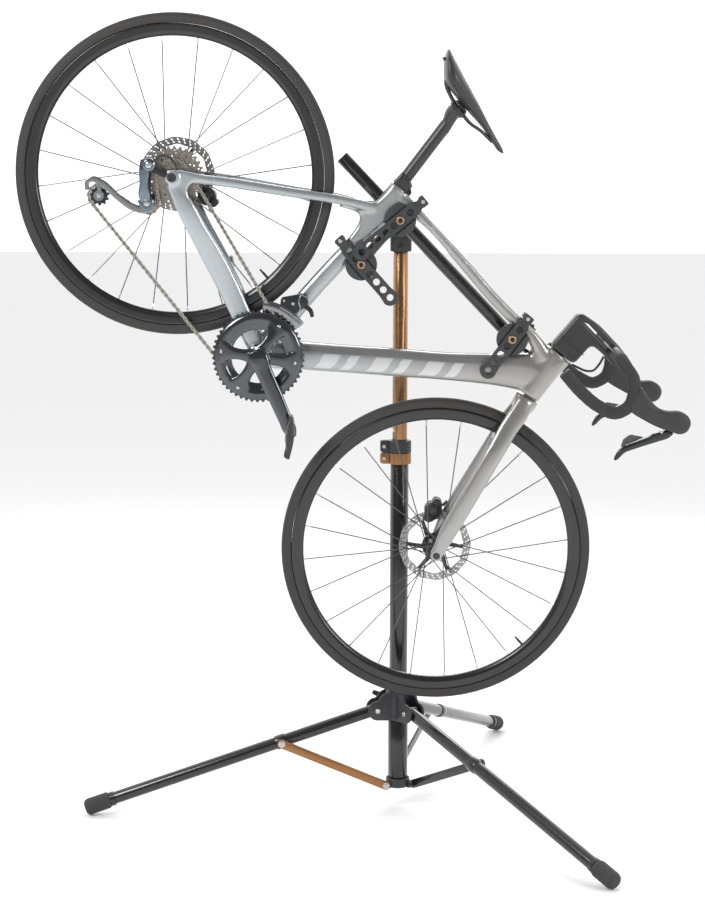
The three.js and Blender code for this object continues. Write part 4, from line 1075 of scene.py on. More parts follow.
AXLE_WEB = [(-428, 65), (-424, 84), (-409, 99), (-361, 143), (-350, 135), (-377, 104), (-378, 89),
            (-370, 79),
            (-345, 72), (-350, 48), (-401, 51), (-416, 57)]
frame_shells.append(plate(rounded(CLUSTER, 10, steps=4), -18, 18, edge=9, steps=6))
frame_shells += [plate(rounded(AXLE_WEB, 9, steps=4), *sorted((side * 61.5, side * 73)), edge=4,
                       steps=4)
                 for side in (-1, 1)]
frame_shells += [bike_tube(rows, 14, 28, 0.85) for rows in BLENDS]
frame_body = piece("frame_monocoque", frame_shells, on_bike, "bike", paint,
                   ["bike_frame"])


def moulded(obj, voxel, rounds):
    """Melts overlapping tubes into one skin: a voxel remesh, then a smoothing of its corners."""
    melt = obj.modifiers.new("melt", "REMESH")
    melt.mode, melt.voxel_size, melt.use_smooth_shade = "VOXEL", voxel, True
    soften = obj.modifiers.new("soften", "SMOOTH")
    soften.factor, soften.iterations = 0.5, rounds
    mesh = bpy.data.meshes.new_from_object(obj.evaluated_get(bpy.context.evaluated_depsgraph_get()))
    obj.modifiers.clear()
    old, obj.data = obj.data, mesh
    mesh.name = obj.name
    bpy.data.meshes.remove(old)
    made[obj.name] = 2 * len(mesh.polygons)


moulded(frame_body, 0.0026, 9)
print("frame skin:", made["frame_monocoque"], "triangles")


LINE_POINTS = 200


def sticker(stations, s_range, t_range, square, lift=0.25, slant=0.0, steps=(26, 14)):
    """A thin skin on a tube: the tube's formula, a little larger, for s along and t round."""
    line = curve(stations, LINE_POINTS)
    s = np.linspace(*s_range, steps[0])[:, None]
    t = np.linspace(*t_range, steps[1])[None, :]
    s = np.clip(s + slant * (t - np.mean(t_range)), 0, 1) * np.ones_like(t)
    at = s * (LINE_POINTS - 1)
    low = np.clip(at.astype(int), 0, LINE_POINTS - 2)
    part = (at - low)[..., None]
    row = line[low] * (1 - part) + line[low + 1] * part
    along = line[low + 1, :3] - line[low, :3]
    along /= np.linalg.norm(along, axis=-1, keepdims=True)
    u = np.cross(along, (0, 1, 0))
    v = np.cross(along, u)
    c, k = np.cos(t), np.sin(t)
    c, k = np.sign(c) * np.abs(c) ** square, np.sign(k) * np.abs(k) ** square
    c, k = c * np.ones_like(s), k * np.ones_like(s)
    skins = [row[..., :3] + ((row[..., 3] + grow) * c)[...,
                                                       None] * u + ((row[...,
                                                                         4] + grow) * k)[..., None] * v
             for grow in (lift, lift - 0.5)]
    count, around = s.shape
    edge = np.concatenate([skins[0].reshape(-1, 3), skins[1].reshape(-1, 3)])
    index = np.arange(count * around).reshape(count, around)
    top_faces = np.stack([index[:-1, :-1], index[:-1, 1:], index[1:, 1:], index[1:, :-1]],
                         -1).reshape(-1, 4)
    low_faces = top_faces[:, ::-1] + count * around
    border = np.concatenate([index[0], index[1:, -1], index[-1, -2::-1], index[-2:0:-1, 0]])
    after = np.roll(border, -1)
    wall = np.stack([after, border, border + count * around, after + count * around], -1)
    return outward((edge, [top_faces, low_faces, wall]))


print("frame tubes made")

# %% Axle caps, painted marks and small frame fittings
caps = []
for side in (-1, 1):
    caps += [turned([(0, 60), (9.6, 60), (9.6, 77.2), (9, 77.9), (4.6, 77.9), (4.2, 76), (0, 76)],
                    40,
                    (REAR_AXLE[0], 0, REAR_AXLE[1]), (0, side, 0), soften=0.4),
             turned([(0, 73), (2.2, 73), (2.2, 77.4), (0, 77.4)], 16,
                    (REAR_AXLE[0] - 13, 0, REAR_AXLE[1] - 11),
                    (0, side, 0), soften=0.3)]
piece("rear_axle_caps", caps, on_bike, "bike", carbon)
facet = [sticker(DOWN_TUBE, (0.1, 0.8), t_range, 0.72, lift=0.6,
                 steps=(60, 12)) for t_range in ((0.12, 1.2), (5.083, 6.163))]
piece("down_tube_facet", facet, on_bike, "bike", graphic)
BLOCKS = 6
blocks = [sticker(DOWN_TUBE, (0.2 + 0.092 * n, 0.2 + 0.092 * n + (0.06, 0.035)[n % 2]), (1.3, 2.15),
                  0.72,
                  lift=0.7, slant=-0.045) for n in range(BLOCKS)]
piece("down_tube_blocks", blocks, on_bike, "bike", graphic_light)
piece("down_tube_blocks_left", [mirrored(block) for block in blocks], on_bike, "bike",
      graphic_light)
port = [plate(rounded([(258, 509), (296, 515), (292, 519.5), (262, 514)], 2), -7, 7, edge=1.6,
              steps=3),
        rod((276, -3, 514), (284, -3, 521), 2.6, 16, edge=0.6)]
piece("cable_port", port, on_bike, "bike", stand_plastic)
stop_rod = rod((296, 20, 464), (338, 20, 483), 4.6, 24, edge=1)
piece("clamp_stop_rod", stop_rod, on_bike, "bike", black_tube)
print("frame made")

# %% [markdown]
# ## Fork and cockpit
#
# Fork blades taper as they sweep down to the axle, so they are lofts too. The stem grows out of
# the head as one block. The handlebar is a round bar under tape: the tape is wound in a helix,
# and its height is a sawtooth of distance along the bar minus the turn round it.

# %% Fork
BLADE = [(408, 15, 414, 20, 13), (419, 25, 392, 21, 10), (434, 35, 352, 21, 10),
         (455, 44, 308, 20, 10),
         (489, 50, 237, 20, 9.5), (523, 53, 166, 20, 9), (551, 55, 110, 18, 7.5),
         (566, 56, 84, 15, 5.5),
         (572, 56, 70, 14, 5.5)]
blade = bike_tube(BLADE, 56, 32, 0.85)
steer_top = HEAD_TOP + (HEAD_LOW - HEAD_TOP) * 1.035
steer_low = HEAD_TOP + (HEAD_LOW - HEAD_TOP) * 1.28
crown = bike_tube([(steer_top[0] - 6, 0, steer_top[1] + 1, 27, 24),
                   (steer_top[0] + 0.5, 0, steer_top[1] - 12, 27.5, 27),
                   (steer_low[0] - 3, 0, steer_low[1], 25, 28)], 24, 40, 0.85, dome=2)
tips = [turned([(0, y0), (11.5, y0), (12.8, y0 + 1.4), (12.8, y1 - 1.4), (11.5, y1), (0, y1)], 36,
               (FRONT_AXLE[0], 0, FRONT_AXLE[1]), soften=0.5) for y0,
        y1 in ((50.5, 60.8), (-60.8, -50.5))]
fork = piece("fork_blades", [blade, mirrored(blade), crown, *tips,
                      rod((*HEAD_TOP[:1], 0, HEAD_TOP[1]), (steer_top[0], 0, steer_top[1]), 14.8,
                          24)],
      on_bike, "steering", paint, ["fork"])
moulded(fork, 0.0022, 7)
piece("fork_axle_cap", [turned([(0, -61.6), (7.4, -61.6), (8, -61), (8, -60), (0, -60)], 30,
                               (FRONT_AXLE[0], 0, FRONT_AXLE[1]), soften=0.3),
                        turned([(0, -61.9), (3.4, -61.9), (3.4, -61), (0, -61)], 6,
                               (FRONT_AXLE[0], 0, FRONT_AXLE[1]))],
      on_bike, "steering", dark_steel)

# %% Stem and bar
STEM = [(338, 524.5), (400, 544), (385, 600), (423, 610), (451, 613), (450, 640), (432, 648.5),
        (362, 637.5),
        (312.5, 618.5), (325, 575)]
stem_outline = rounded(np.array(STEM, float), 14, steps=6)
stem_slot = rounded([(336, 613), (345, 619), (418, 631.5), (417, 626)], 1.6, steps=3)
stem = plate(stem_outline, -18.8, 18.8, [stem_slot], edge=7, steps=5)
face_cap = plate(rounded([(429, 611.5), (446, 611.5), (452, 618), (452, 637), (440, 648),
                          (429, 648)], 5), -21, 21,
                 edge=3, steps=3)
# Painted shade: a thin near-black plate across the stem stands for the dark gap at its seam.
spacer_gap_painted_shade = [plate(rounded([(331.5, 555), (394.5, 572.5), (394.1, 573.6), (331.1, 556.1)], 0.3),
                    -19.1, 19.1, edge=0.3)]
HALF_BAR = [(425, 0, 631), (424, 70, 631), (418, 140, 631), (418, 176, 631), (434, 194, 630),
            (458, 200, 629),
            (483, 200, 615), (502, 200, 590), (499, 200, 560), (468, 200, 539), (420, 200, 525),
            (371, 200, 519)]
BAR_R = 13.0
half_bar = curve(HALF_BAR, 320)
TAPE_FROM, TAPE_PITCH = 78.0, 17.0  # middle of the bar to the first turn, one turn, mm
travel = np.concatenate([[0], np.cumsum(np.linalg.norm(np.diff(half_bar, axis=0), axis=1))])
taped = half_bar[travel > TAPE_FROM]
tape_travel = travel[travel > TAPE_FROM]
bare = half_bar[travel <= TAPE_FROM + 4]
turn_share = (tape_travel[:, None] / TAPE_PITCH - ring_angles(28)[None] / (2 * math.pi)) % 1
tape_height = -1.0 + 1.3 * np.minimum(turn_share / 0.12, 1) * (1 - 0.25 * turn_share)
tape = tube(taped, BAR_R, 28, relief=tape_height)
bar_plug = turned([(0, 3), (11.4, 3), (12, 2.4), (12, 0), (0, 0)], 32, half_bar[-1],
                  half_bar[-1] - half_bar[-2], soften=0.5)
bare_bar = tube(bare, 12.6, 32)
piece("stem_block", [stem, face_cap, bare_bar, mirrored(bare_bar), bar_plug, mirrored(bar_plug)],
      on_bike,
      "steering", carbon, ["cockpit"])
# The gap's plate gets the near-black painted-shade finish.
piece("stem_gap", spacer_gap_painted_shade, on_bike, "steering", painted_shade_black)
piece("stem_screws", [socket_screw((447.5, y, z), (1, 0, 0.12), 3.4,
                                   2.6) for y in (-14, 14) for z in (619, 640)],
      on_bike, "steering", dark_steel)

tape_look = finish("bar_tape", (0.012, 0.012, 0.012), (0.034, 0.033, 0.032), (0.6, 0.8), fine=520,
                   broad=36,
                   bump=0.7, wear=-0.12)
relief_node, = nodes_of(tape_look, "Bump")
relief_node.inputs["Distance"].default_value = 0.0008
piece("bar_tape_wrap", [tape, mirrored(tape)], on_bike, "steering", tape_look)

# %% [markdown]
# ## Brake hoods, levers and hose
#
# A hood is rubber stretched over a casting: its outline is rounded all the way to the middle
# of its width, so the edge radius is large and takes many steps.

# %% Hoods, levers and hose
hood_look = finish("hood_rubber", (0.016, 0.016, 0.016), (0.04, 0.04, 0.04), (0.5, 0.7), fine=900,
                   broad=50,
                   bump=0.8, wear=-0.1)
paddle_look = finish("paddle_texture", (0.02, 0.02, 0.021), (0.09, 0.09, 0.092), (0.4, 0.55),
                     fine=900, bump=0.9)
lever_look = finish("lever_alloy", (0.012, 0.012, 0.013), (0.05, 0.052, 0.055), (0.16, 0.28),
                    metal=0.7,
                    fine=1800, bump=0.05, coat=0.4)
HOOD = [(478, 634), (512, 633), (539, 637), (556, 650), (568, 671), (588, 680.4), (604, 677),
        (614.6, 661),
        (611.5, 645), (592, 629), (564, 610), (526, 591), (506, 584), (494, 604)]
LEVER = [(588, 628), (602, 637), (604, 620), (597, 598), (588, 568), (577.5, 530), (582, 512),
         (581.5, 504),
         (577, 503.5), (569, 515.5), (565.5, 528), (571, 552), (578, 582), (579, 604)]
PADDLE = [(574, 581), (553, 560), (554, 542), (565, 529), (570.5, 552)]
for name, side in (("right", -1), ("left", 1)):
    centre = side * 200

    def swell(points, centre=centre):
        """The hood is fuller at its horn: width grows with distance towards the tip."""
        out = points.copy()
        share = np.clip((points[:, 0] - 500) / 110, 0, 1)
        out[:, 1] = centre + (points[:, 1] - centre) * (0.92 + 0.08 * np.sin(share * math.pi))
        return out

    hood = plate(rounded(HOOD, 13, steps=5), centre - 15.8, centre + 15.8, edge=11.5, steps=7,
                 bend=swell)
    piece(f"brake_hood_{name}_rubber", hood, on_bike, "steering", hood_look,
          [f"brake_hood_{name}"])
    ribs = [tube(np.array([(x, centre - 13.6, z), (x + 7, centre - 14.9, z + 3),
                           (x + 15, centre - 14.4, z + 6)]),
                 0.8, 8, dome=0.6) for x, z in ((532, 620), (535, 626), (538, 632), (541, 638))]
    ribs = ribs if side < 0 else [mirrored(rib) for rib in ribs]
    piece(f"brake_hood_{name}_ribs", ribs, on_bike, "steering", hood_look)
    blade_outline = rounded(LEVER, 7, steps=5)
    lever = plate(blade_outline, centre - 6.4, centre + 6.4, edge=3, steps=4)
    paddle = plate(rounded(PADDLE, 4, steps=4), centre - 3.6, centre + 3.6, edge=1.4, steps=3)
    bright_edge = tube(curve([(572.5, centre + 5.6 * side, 579), (569.6, centre + 5.6 * side, 560),
                              (565, centre + 5.4 * side, 540)], 16),
                       1.3, 10, dome=0.8)
    piece(f"brake_lever_{name}_blade", lever, on_bike, f"brake_lever_{name}", lever_look,
          [f"brake_lever_{name}"])
    piece(f"brake_lever_{name}_shift_paddle", paddle, on_bike, f"brake_lever_{name}", paddle_look)
    piece(f"brake_lever_{name}_edge", bright_edge, on_bike, f"brake_lever_{name}", bright_steel)
    piece(f"brake_lever_{name}_pin",
          rod((584, centre - 9, 616), (584, centre + 9, 616), 2.6, 18, edge=0.4),
          on_bike, "steering", bright_steel)

HOSE = [(399.5, -2, 541), (411, -4, 548), (425, -6, 557), (435, -8, 571), (431, -10, 590),
        (422, -12, 607)]
hose_look = finish("hose_black", (0.01, 0.01, 0.01), (0.022, 0.022, 0.022), (0.3, 0.42), fine=1500,
                   bump=0.1)
piece("brake_hose_line", tube(curve(HOSE, 40), 2.6, 20), on_bike, "steering", hose_look,
      ["brake_hose"])

# %% [markdown]
# ## Seat post and saddle
#
# The saddle is a shell with a thin foam pad under a smooth cover. Its cross section changes
# from wide and flat at the tail to narrow at the nose. Top and underside are two halves of one
# closed ring, and a channel is pressed into the middle with a bell curve.

# %% Seat post, clamp and rails
POST_LOW, POST_HIGH = np.array((-104.0, 385.0)), np.array((-176.0, 603.0))
post_from = POST_LOW + (POST_HIGH - POST_LOW) * 0.04
post_head = bike_tube([(-170, 0, 590, 13, 13), (-180, 0, 612, 13, 15), (-188, 0, 627, 16, 24),
                       (-189, 0, 634, 17, 27)],
                      20, 36, dome=1)
piece("seat_post_carbon", [rod((post_from[0], 0, post_from[1]), (POST_HIGH[0], 0, POST_HIGH[1]),
                               13.4, 44), post_head],
      on_bike, "seat", carbon, ["seatpost"])
RAIL = [(-264, 30, 664), (-245, 25, 649), (-216, 22, 643), (-176, 22, 643), (-152, 21, 645),
        (-122, 17, 656),
        (-98, 10, 661)]
rail_line = curve([*RAIL, (-92, 0, 662), *[(x, -y, z) for x, y, z in RAIL[::-1]]], 160)
piece("saddle_rail_bar", tube(rail_line, 3.5, 16, dome=1), on_bike, "seat", dark_steel,
      ["saddle_rails"])
yokes = [plate(rounded([(-207, 634), (-171, 634), (-169, 642.4), (-209, 642.4)], 3), y - 5, y + 5,
               edge=1.2) for y in (-22, 22)]
yokes += [plate(rounded([(-207, 647.2), (-171, 647.2), (-176, 653), (-202, 653)], 2.4), y - 5,
                y + 5, edge=1.2)
          for y in (-22, 22)]
yokes.append(rod((-189, -29, 640.6), (-189, 29, 640.6), 4.6, 24, edge=1))
piece("saddle_yoke", yokes, on_bike, "seat", dark_steel)
piece("seat_clamp_wedge", [plate(rounded([(-141, 444), (-104, 449), (-110, 472), (-122, 476),
                                          (-147, 472)], 3, steps=3),
                                 -16.5, 16.5, edge=5, steps=4),
                           plate(rounded([(-108, 450), (-96, 453), (-99, 463), (-111, 468)], 2), -7,
                                 7, edge=1.2),
                           rod((-86, 0, 448), (-88, 0, 457), 3.4, 18, edge=0.5)],
      on_bike, "bike", dark_steel)

# %% Saddle cover
cover = finish("saddle_cover", (0.01, 0.01, 0.0105), (0.03, 0.03, 0.031), (0.34, 0.55), fine=620,
               broad=60,
               bump=0.5, coat=0.1)
SADDLE = [(-302, 692.3, 3.7, 34), (-292, 683.8, 11.4, 54), (-275, 674.5, 18.5, 66),
          (-250, 665.5, 25, 71),
          (-215, 664.5, 22.5, 60), (-170, 666, 17, 41), (-125, 667.8, 10.2, 26),
          (-88, 666.4, 8.4, 20),
          (-66, 666.4, 5.6, 15), (-59, 668, 2.2, 8)]
rows = curve([(x, 0, z, deep, wide) for x, z, deep, wide in SADDLE], 110)
angle = ring_angles(72)
across = np.sign(np.cos(angle)) * np.abs(np.cos(angle)) ** 0.8
upper = np.sin(angle) > 0
y = rows[:, 4:5] * across[None]
rise = np.where(upper, np.abs(np.sin(angle)) ** 0.75, -0.62 * np.abs(np.sin(angle)) ** 0.8)
channel = 3.6 * np.exp(-((y / 8.5) ** 2)) * np.clip((rows[:, :1] + 290) / 40, 0,
                                                    1) * np.clip((-75 - rows[:, :1]) / 30, 0, 1)
z = rows[:, 2:3] + rows[:, 3:4] * rise[None] - np.where(upper, channel, 0)
saddle_shell = with_skin(np.stack([np.broadcast_to(rows[:, :1], y.shape), y, z], -1))
saddle = piece("saddle_pad", saddle_shell, on_bike, "seat", cover, ["saddle"])
for name, side in (("left", 1), ("right", -1)):
    seam = np.stack([rows[6:-5, 0], rows[6:-5, 4] * side * 0.975,
                     rows[6:-5, 2] + 0.16 * rows[6:-5, 3]], -1)
    piece(f"saddle_seam_{name}", tube(seam, 1.1, 8, dome=0.8), on_bike, "seat", cover)
gloss_panel = finish("saddle_edge", (0.02, 0.02, 0.021), (0.05, 0.05, 0.05), (0.2, 0.32), fine=700,
                     bump=0.2, coat=0.5)
tail_line = [(-291, y, 676 - abs(y) * 0.05) for y in np.linspace(-34, 34, 15)]
piece("saddle_tail_bumper", tube(np.array(tail_line), [[5.5, 3.2]] * 15, 18, across=(0, 0, 1),
                                 dome=3), on_bike, "seat",
      gloss_panel)
print("saddle triangles:", made["saddle_pad"])

# %% [markdown]
# ## Wheels
#
# A wheel is three turned parts and twenty-four spokes. Every spoke is the same bar between two
# circles: it leaves a flange of the hub ahead of, or behind, the place where it meets the rim,
# and neighbours cross. The disc is a plate with a wavy rim and a ring of slanted slots.

# %% Tyre, rim and spoke finishes
tyre_look = finish("tyre_rubber", (0.017, 0.0155, 0.0145), (0.034, 0.031, 0.029), (0.55, 0.75),
                   fine=700, broad=9,
                   bump=0.6, wear=-0.08)
wall_look = finish("tyre_wall", (0.022, 0.021, 0.02), (0.045, 0.042, 0.04), (0.62, 0.8), fine=520,
                   broad=16,
                   bump=0.9, wear=-0.08)
rim_look = finish("rim_satin_black", (0.008, 0.008, 0.0085), (0.02, 0.02, 0.021), (0.22, 0.34),
                  metal=0.3,
                  fine=1600, broad=8, bump=0.05, coat=0.5)
spoke_look = finish("spoke_steel", (0.05, 0.05, 0.052), (0.15, 0.15, 0.152), (0.28, 0.4), metal=0.9,
                    fine=3000,
                    bump=0.05)
hub_look = finish("hub_black", (0.012, 0.012, 0.013), (0.035, 0.035, 0.037), (0.24, 0.36),
                  metal=0.6, fine=2000,
                  bump=0.06, coat=0.3)
rotor_look = finish("rotor_steel", (0.2, 0.197, 0.19), (0.42, 0.415, 0.4), (0.26, 0.4), metal=1.0,
                    fine=2600,
                    bump=0.1, wear=0.1)
sprocket_look = finish("sprocket_plate", (0.2, 0.18, 0.15), (0.44, 0.405, 0.35), (0.24, 0.4),
                       metal=1.0, fine=2200,
                       bump=0.1, wear=0.15)

# %% Wheel parts, drawn about the axle
TYRE_R, TYRE_HALF = 338.0, 13.4
RIM_INNER, RIM_OUTER = 289.5, 316.0
WHEEL_SIDES = 192
tyre_middle = TYRE_R - TYRE_HALF
tread_arc = np.linspace(math.pi * 0.17, math.pi * 0.83, 21)
wall_arc = np.linspace(-0.18 * math.pi, 0.17 * math.pi, 9)
tread = turned([*[(tyre_middle + TYRE_HALF * math.sin(t),
                   -TYRE_HALF * math.cos(t)) for t in tread_arc],
                (tyre_middle + 4, 9), (tyre_middle + 4, -9)], WHEEL_SIDES, ring=True)
walls = [turned([*[(tyre_middle + 13.2 * math.sin(t), -13.2 * math.cos(t)) for t in wall_arc],
                 (tyre_middle + 5, -9.5), (RIM_OUTER + 0.5, -8)], WHEEL_SIDES, ring=True)]
walls.append(mirrored(walls[0]))
rim_profile = rounded([(RIM_INNER, -4), (RIM_INNER + 4, -8.2), (RIM_INNER + 10, -10.8),
                       (RIM_OUTER - 3, -11.4),
                       (RIM_OUTER, -10.6), (RIM_OUTER, 10.6), (RIM_OUTER - 3, 11.4),
                       (RIM_INNER + 10, 10.8),
                       (RIM_INNER + 4, 8.2), (RIM_INNER, 4)], 2.0, steps=4)
rim = turned(rim_profile, WHEEL_SIDES, ring=True)
SPOKES, SPOKE_LEAN = 24, 1.1
HUBS = {  # flange radius and height of each side, hub profile, disc height
    "front": (((19, -28), (21, 26)), 39.5,
              [(0, -49.8), (8, -49.8), (8.8, -49), (9.6, -36), (12, -33), (18.4, -30.4),
               (19, -29.6), (19, -26.4),
               (18.4, -25.8), (13, -22), (10.6, -12), (10.6, 10), (13, 20), (20.4, 24), (21, 24.8),
               (21, 27.4),
               (20.4, 28), (16.4, 31), (16.4, 42), (15.6, 42.8), (9, 43.6), (9, 49), (8.2, 49.8),
               (0, 49.8)]),
    "rear": (((22, -16), (23, 35)), 55.7,
             [(0, -17.7), (21.4, -17.7), (22.4, -17), (22.6, -14.6), (21.6, -13.6), (14, -9.5),
              (11.6, 0), (11.6, 22),
              (14, 29.5), (22.2, 33), (23, 33.8), (23, 36.2), (22.2, 37), (16.4, 41), (16.4, 58),
              (15.6, 59),
              (9, 60), (9, 69.6), (8.4, 70.4), (0, 70.4)]),
}


def spoke_set(flanges):
    """Spoke i joins angle a + lean on its flange to angle a on the rim, with a 14 mm nipple."""
    bars, nipples, heads = [], [], []
    for i in range(SPOKES):
        radius, height = flanges[i % 2]
        way = 1 if (i >> 1) % 2 else -1
        rim_turn = 2 * math.pi * i / SPOKES
        hub_turn = rim_turn + SPOKE_LEAN * way
        a = np.array(((radius - 2) * math.cos(hub_turn), height + 1.6 * way,
                      (radius - 2) * math.sin(hub_turn)))
        b = np.array(((RIM_INNER + 1) * math.cos(rim_turn), height * 0.05,
                      (RIM_INNER + 1) * math.sin(rim_turn)))
        u = (b - a) / np.linalg.norm(b - a)
        bars.append(tube(np.array([a, a + u * 12, b - u * 12, b]),
                         [[1.3, 1.3], [1.15, 1.15], [1.15, 1.15], [1.15, 1.15]], 8))
        nipples.append(turned([(0, 0), (1.7, 0), (2.0, 1.0), (2.0, 12), (0, 12)], 8, b - u * 12.5,
                              u))
        heads.append(turned([(0, -1), (1.8, -0.8), (2.2, 0), (0, 0.4)], 8, a - (0, 1.0 * way, 0),
                            (0, way, 0)))
    return bars, nipples, heads


def disc_rotor(height):
    """Plate with a wavy rim, r = 79 + cos(12 t), and 36 slots that slant like a saw's teeth."""
    t = ring_angles(216)
    outer = np.stack([(79.2 + 0.7 * np.cos(12 * t)) * np.cos(t),
                      (79.2 + 0.7 * np.cos(12 * t)) * np.sin(t)], 1)
    inner_r = 63.4 + 1.1 * np.cos(12 * t + 1)
    inner = np.stack([inner_r * np.cos(t), inner_r * np.sin(t)], 1)[::2]
    slots = []
    for n in range(36):
        a = 2 * math.pi * n / 36
        for r_in, r_out, shift in ((66.8, 71.0, 0.0), (72.6, 76.8, 0.045)):
            lean = 0.05
            corners = [(r_in, a - 0.022), (r_in, a + 0.022), (r_out, a + 0.022 + lean),
                       (r_out, a - 0.022 + lean)]
            slots.append(rounded([(r * math.cos(q + shift), r * math.sin(q + shift)) for r,
                                  q in corners], 1.2, steps=1))
    return plate(outer, height - 0.9, height + 0.9, [inner, *slots], edge=0.15, steps=1)


def rotor_spider(height):
    """Six curved arms from the lock ring to the braking track."""
    arm = rounded([(15, -6), (30, -5.4), (48, -9), (65, -13.5), (66, -4.5), (50, -1.5), (32, 5.6),
                   (15, 6)], 4)
    flat = plate(arm, height - 1.0, height + 1.0, edge=0.3, steps=1)
    arms = copies(flat, np.zeros((6, 3)), turns_about(1, np.arange(6) * math.pi / 3))
    hub_ring = turned([(17.4, height - 2.2), (27, height - 2.2), (28.5, height - 1),
                       (28.5, height + 1),
                       (27, height + 2.2), (17.4, height + 2.2)], 48, ring=True)
    rivets = copies(turned([(0, height - 1.9), (2.2, height - 1.9), (2.6, height - 1.2),
                            (2.6, height + 1.2),
                            (2.2, height + 1.9), (0, height + 1.9)], 12, (64.5, 0, -8.5)),
                    np.zeros((6, 3)),
                    turns_about(1, np.arange(6) * math.pi / 3))
    return arms, hub_ring, rivets


def at_axle(axle):
    def place(points):
        return on_bike(points + (axle[0], 0, axle[1]))
    return place


for wheel, axle in (("rear", REAR_AXLE), ("front", FRONT_AXLE)):
    flanges, disc_height, profile = HUBS[wheel]
    place = at_axle(axle)
    body = wheel + "_wheel"
    piece(f"{wheel}_tyre_tread", tread, place, body, tyre_look, [f"{wheel}_tyre"])
    piece(f"{wheel}_tyre_walls", walls, place, body, wall_look)
    valve_turn = 0.13
    valve_foot = np.array((RIM_INNER * math.cos(valve_turn), 0, RIM_INNER * math.sin(valve_turn)))
    inward = -valve_foot / np.linalg.norm(valve_foot)
    valve_foot = valve_foot - 12 * inward
    piece(f"{wheel}_rim_hoop", rim, place, body, rim_look, [f"{wheel}_rim"])
    piece(f"{wheel}_valve", [turned([(0, -2), (2.9, -2), (2.9, 26), (2.2, 27), (2.2, 34), (1.2, 35),
                                     (0, 36)], 16,
                                    valve_foot, inward)], place, body, dark_steel)
    bars, nipples, heads = spoke_set(flanges)
    piece(f"{wheel}_spokes", bars, place, body, spoke_look, [f"{wheel}_hub_spokes"])
    piece(f"{wheel}_nipples", [*nipples, *heads], place, body, bright_steel)
    piece(f"{wheel}_hub_shell", turned(profile, 48, soften=0.5), place, body, hub_look)
    arms, hub_ring, rivets = rotor_spider(disc_height)
    piece(f"{wheel}_rotor_track", disc_rotor(disc_height), place, body, rotor_look,
          [f"{wheel}_rotor"])
    piece(f"{wheel}_rotor_spider", [arms, hub_ring], place, body, hub_look)
    piece(f"{wheel}_rotor_rivets", rivets, place, body, bright_steel)
    print(wheel, "wheel: rotor", made[f"{wheel}_rotor_track"], "spokes", made[f"{wheel}_spokes"])

# %% [markdown]
# ## Sprockets and chain
#
# A toothed ring is an outline whose radius is a function of the turn: it rises and falls once
# for each tooth. The chain follows a belt line, arcs joined by tangents, and a link is laid on
# every second pitch of it, so that wide and narrow plates alternate as on the real chain.

# %% Toothed rings and the cassette
PITCH = 12.7  # mm, from one chain pin to the next


def toothed(teeth, root, tip, phase=0.0, per_tooth=8):
    """Radius = root + (tip - root) * a rounded square wave of the turn, once for each tooth."""
    t = ring_angles(teeth * per_tooth)
    wave = np.clip(0.5 + 0.85 * np.cos(teeth * t + phase), 0, 1)
    return np.stack([(root + (tip - root) * wave) * np.cos(t),
                     (root + (tip - root) * wave) * np.sin(t)], 1)


def pitch_radius(teeth):
    return PITCH / (2 * math.sin(math.pi / teeth))


CASSETTE_TEETH = (11, 12, 13, 14, 15, 17, 19, 21, 24, 27, 30)
CASSETTE_OUTER_Y, CASSETTE_STEP = -59.3, 3.6
cogs, carriers = [], []
for n, teeth in enumerate(CASSETTE_TEETH):
    y = CASSETTE_OUTER_Y + CASSETTE_STEP * n
    r = pitch_radius(teeth)
    bore = 17.5 if teeth < 17 else r - 11
    holes = [circle(0, 0, bore, 48)]
    if teeth >= 19:
        spots = ring_angles(teeth // 2 * 2)[::2]
        holes += [circle((r - 6.6) * math.cos(t), (r - 6.6) * math.sin(t), 2.0, 10) for t in spots]
    cogs.append(plate(toothed(teeth, r - 3.6, r + 2.6), y - 0.9, y + 0.9, holes, edge=0.2, steps=1))
    if teeth >= 17:
        arm = rounded([(16, -5), (r - 9.5, -3.6), (r - 9.5, 3.6), (16, 5)], 2)
        carriers.append(copies(plate(arm, y - 0.9, y + 0.9, edge=0.2, steps=1), np.zeros((6, 3)),
                               turns_about(1, np.arange(6) * math.pi / 3)))
lock_ring = turned([(8.5, -61.5), (15, -61.5), (17.4, -60.6), (17.4, -20), (8.5, -20)], 48,
                   ring=True)
splines = copies(rod((15.6, -61.9, 0), (15.6, -61.2, 0), 0.9, 8), np.zeros((12, 3)),
                 turns_about(1, ring_angles(12)))
rear_place = at_axle(REAR_AXLE)
piece("cassette_cogs", cogs, rear_place, "cassette", sprocket_look, ["cassette"])
piece("cassette_carriers", [*carriers, splines], rear_place, "cassette", dark_steel)
piece("cassette_lock_ring", lock_ring, rear_place, "cassette", hub_look)

# %% Chain
SPROCKET_TEETH, JOCKEY_R, SMALL_RING_R = 17, 22.5, 72.8
JOCKEY_UPPER, JOCKEY_LOWER = (-398.0, -5.0), (-468.0, -81.0)
CHAIN_Y = -41.3
BELT = [(REAR_AXLE, pitch_radius(SPROCKET_TEETH), -1), (JOCKEY_UPPER, JOCKEY_R, 1),
        (JOCKEY_LOWER, JOCKEY_R, -1), ((0.0, 0.0), SMALL_RING_R, -1)]


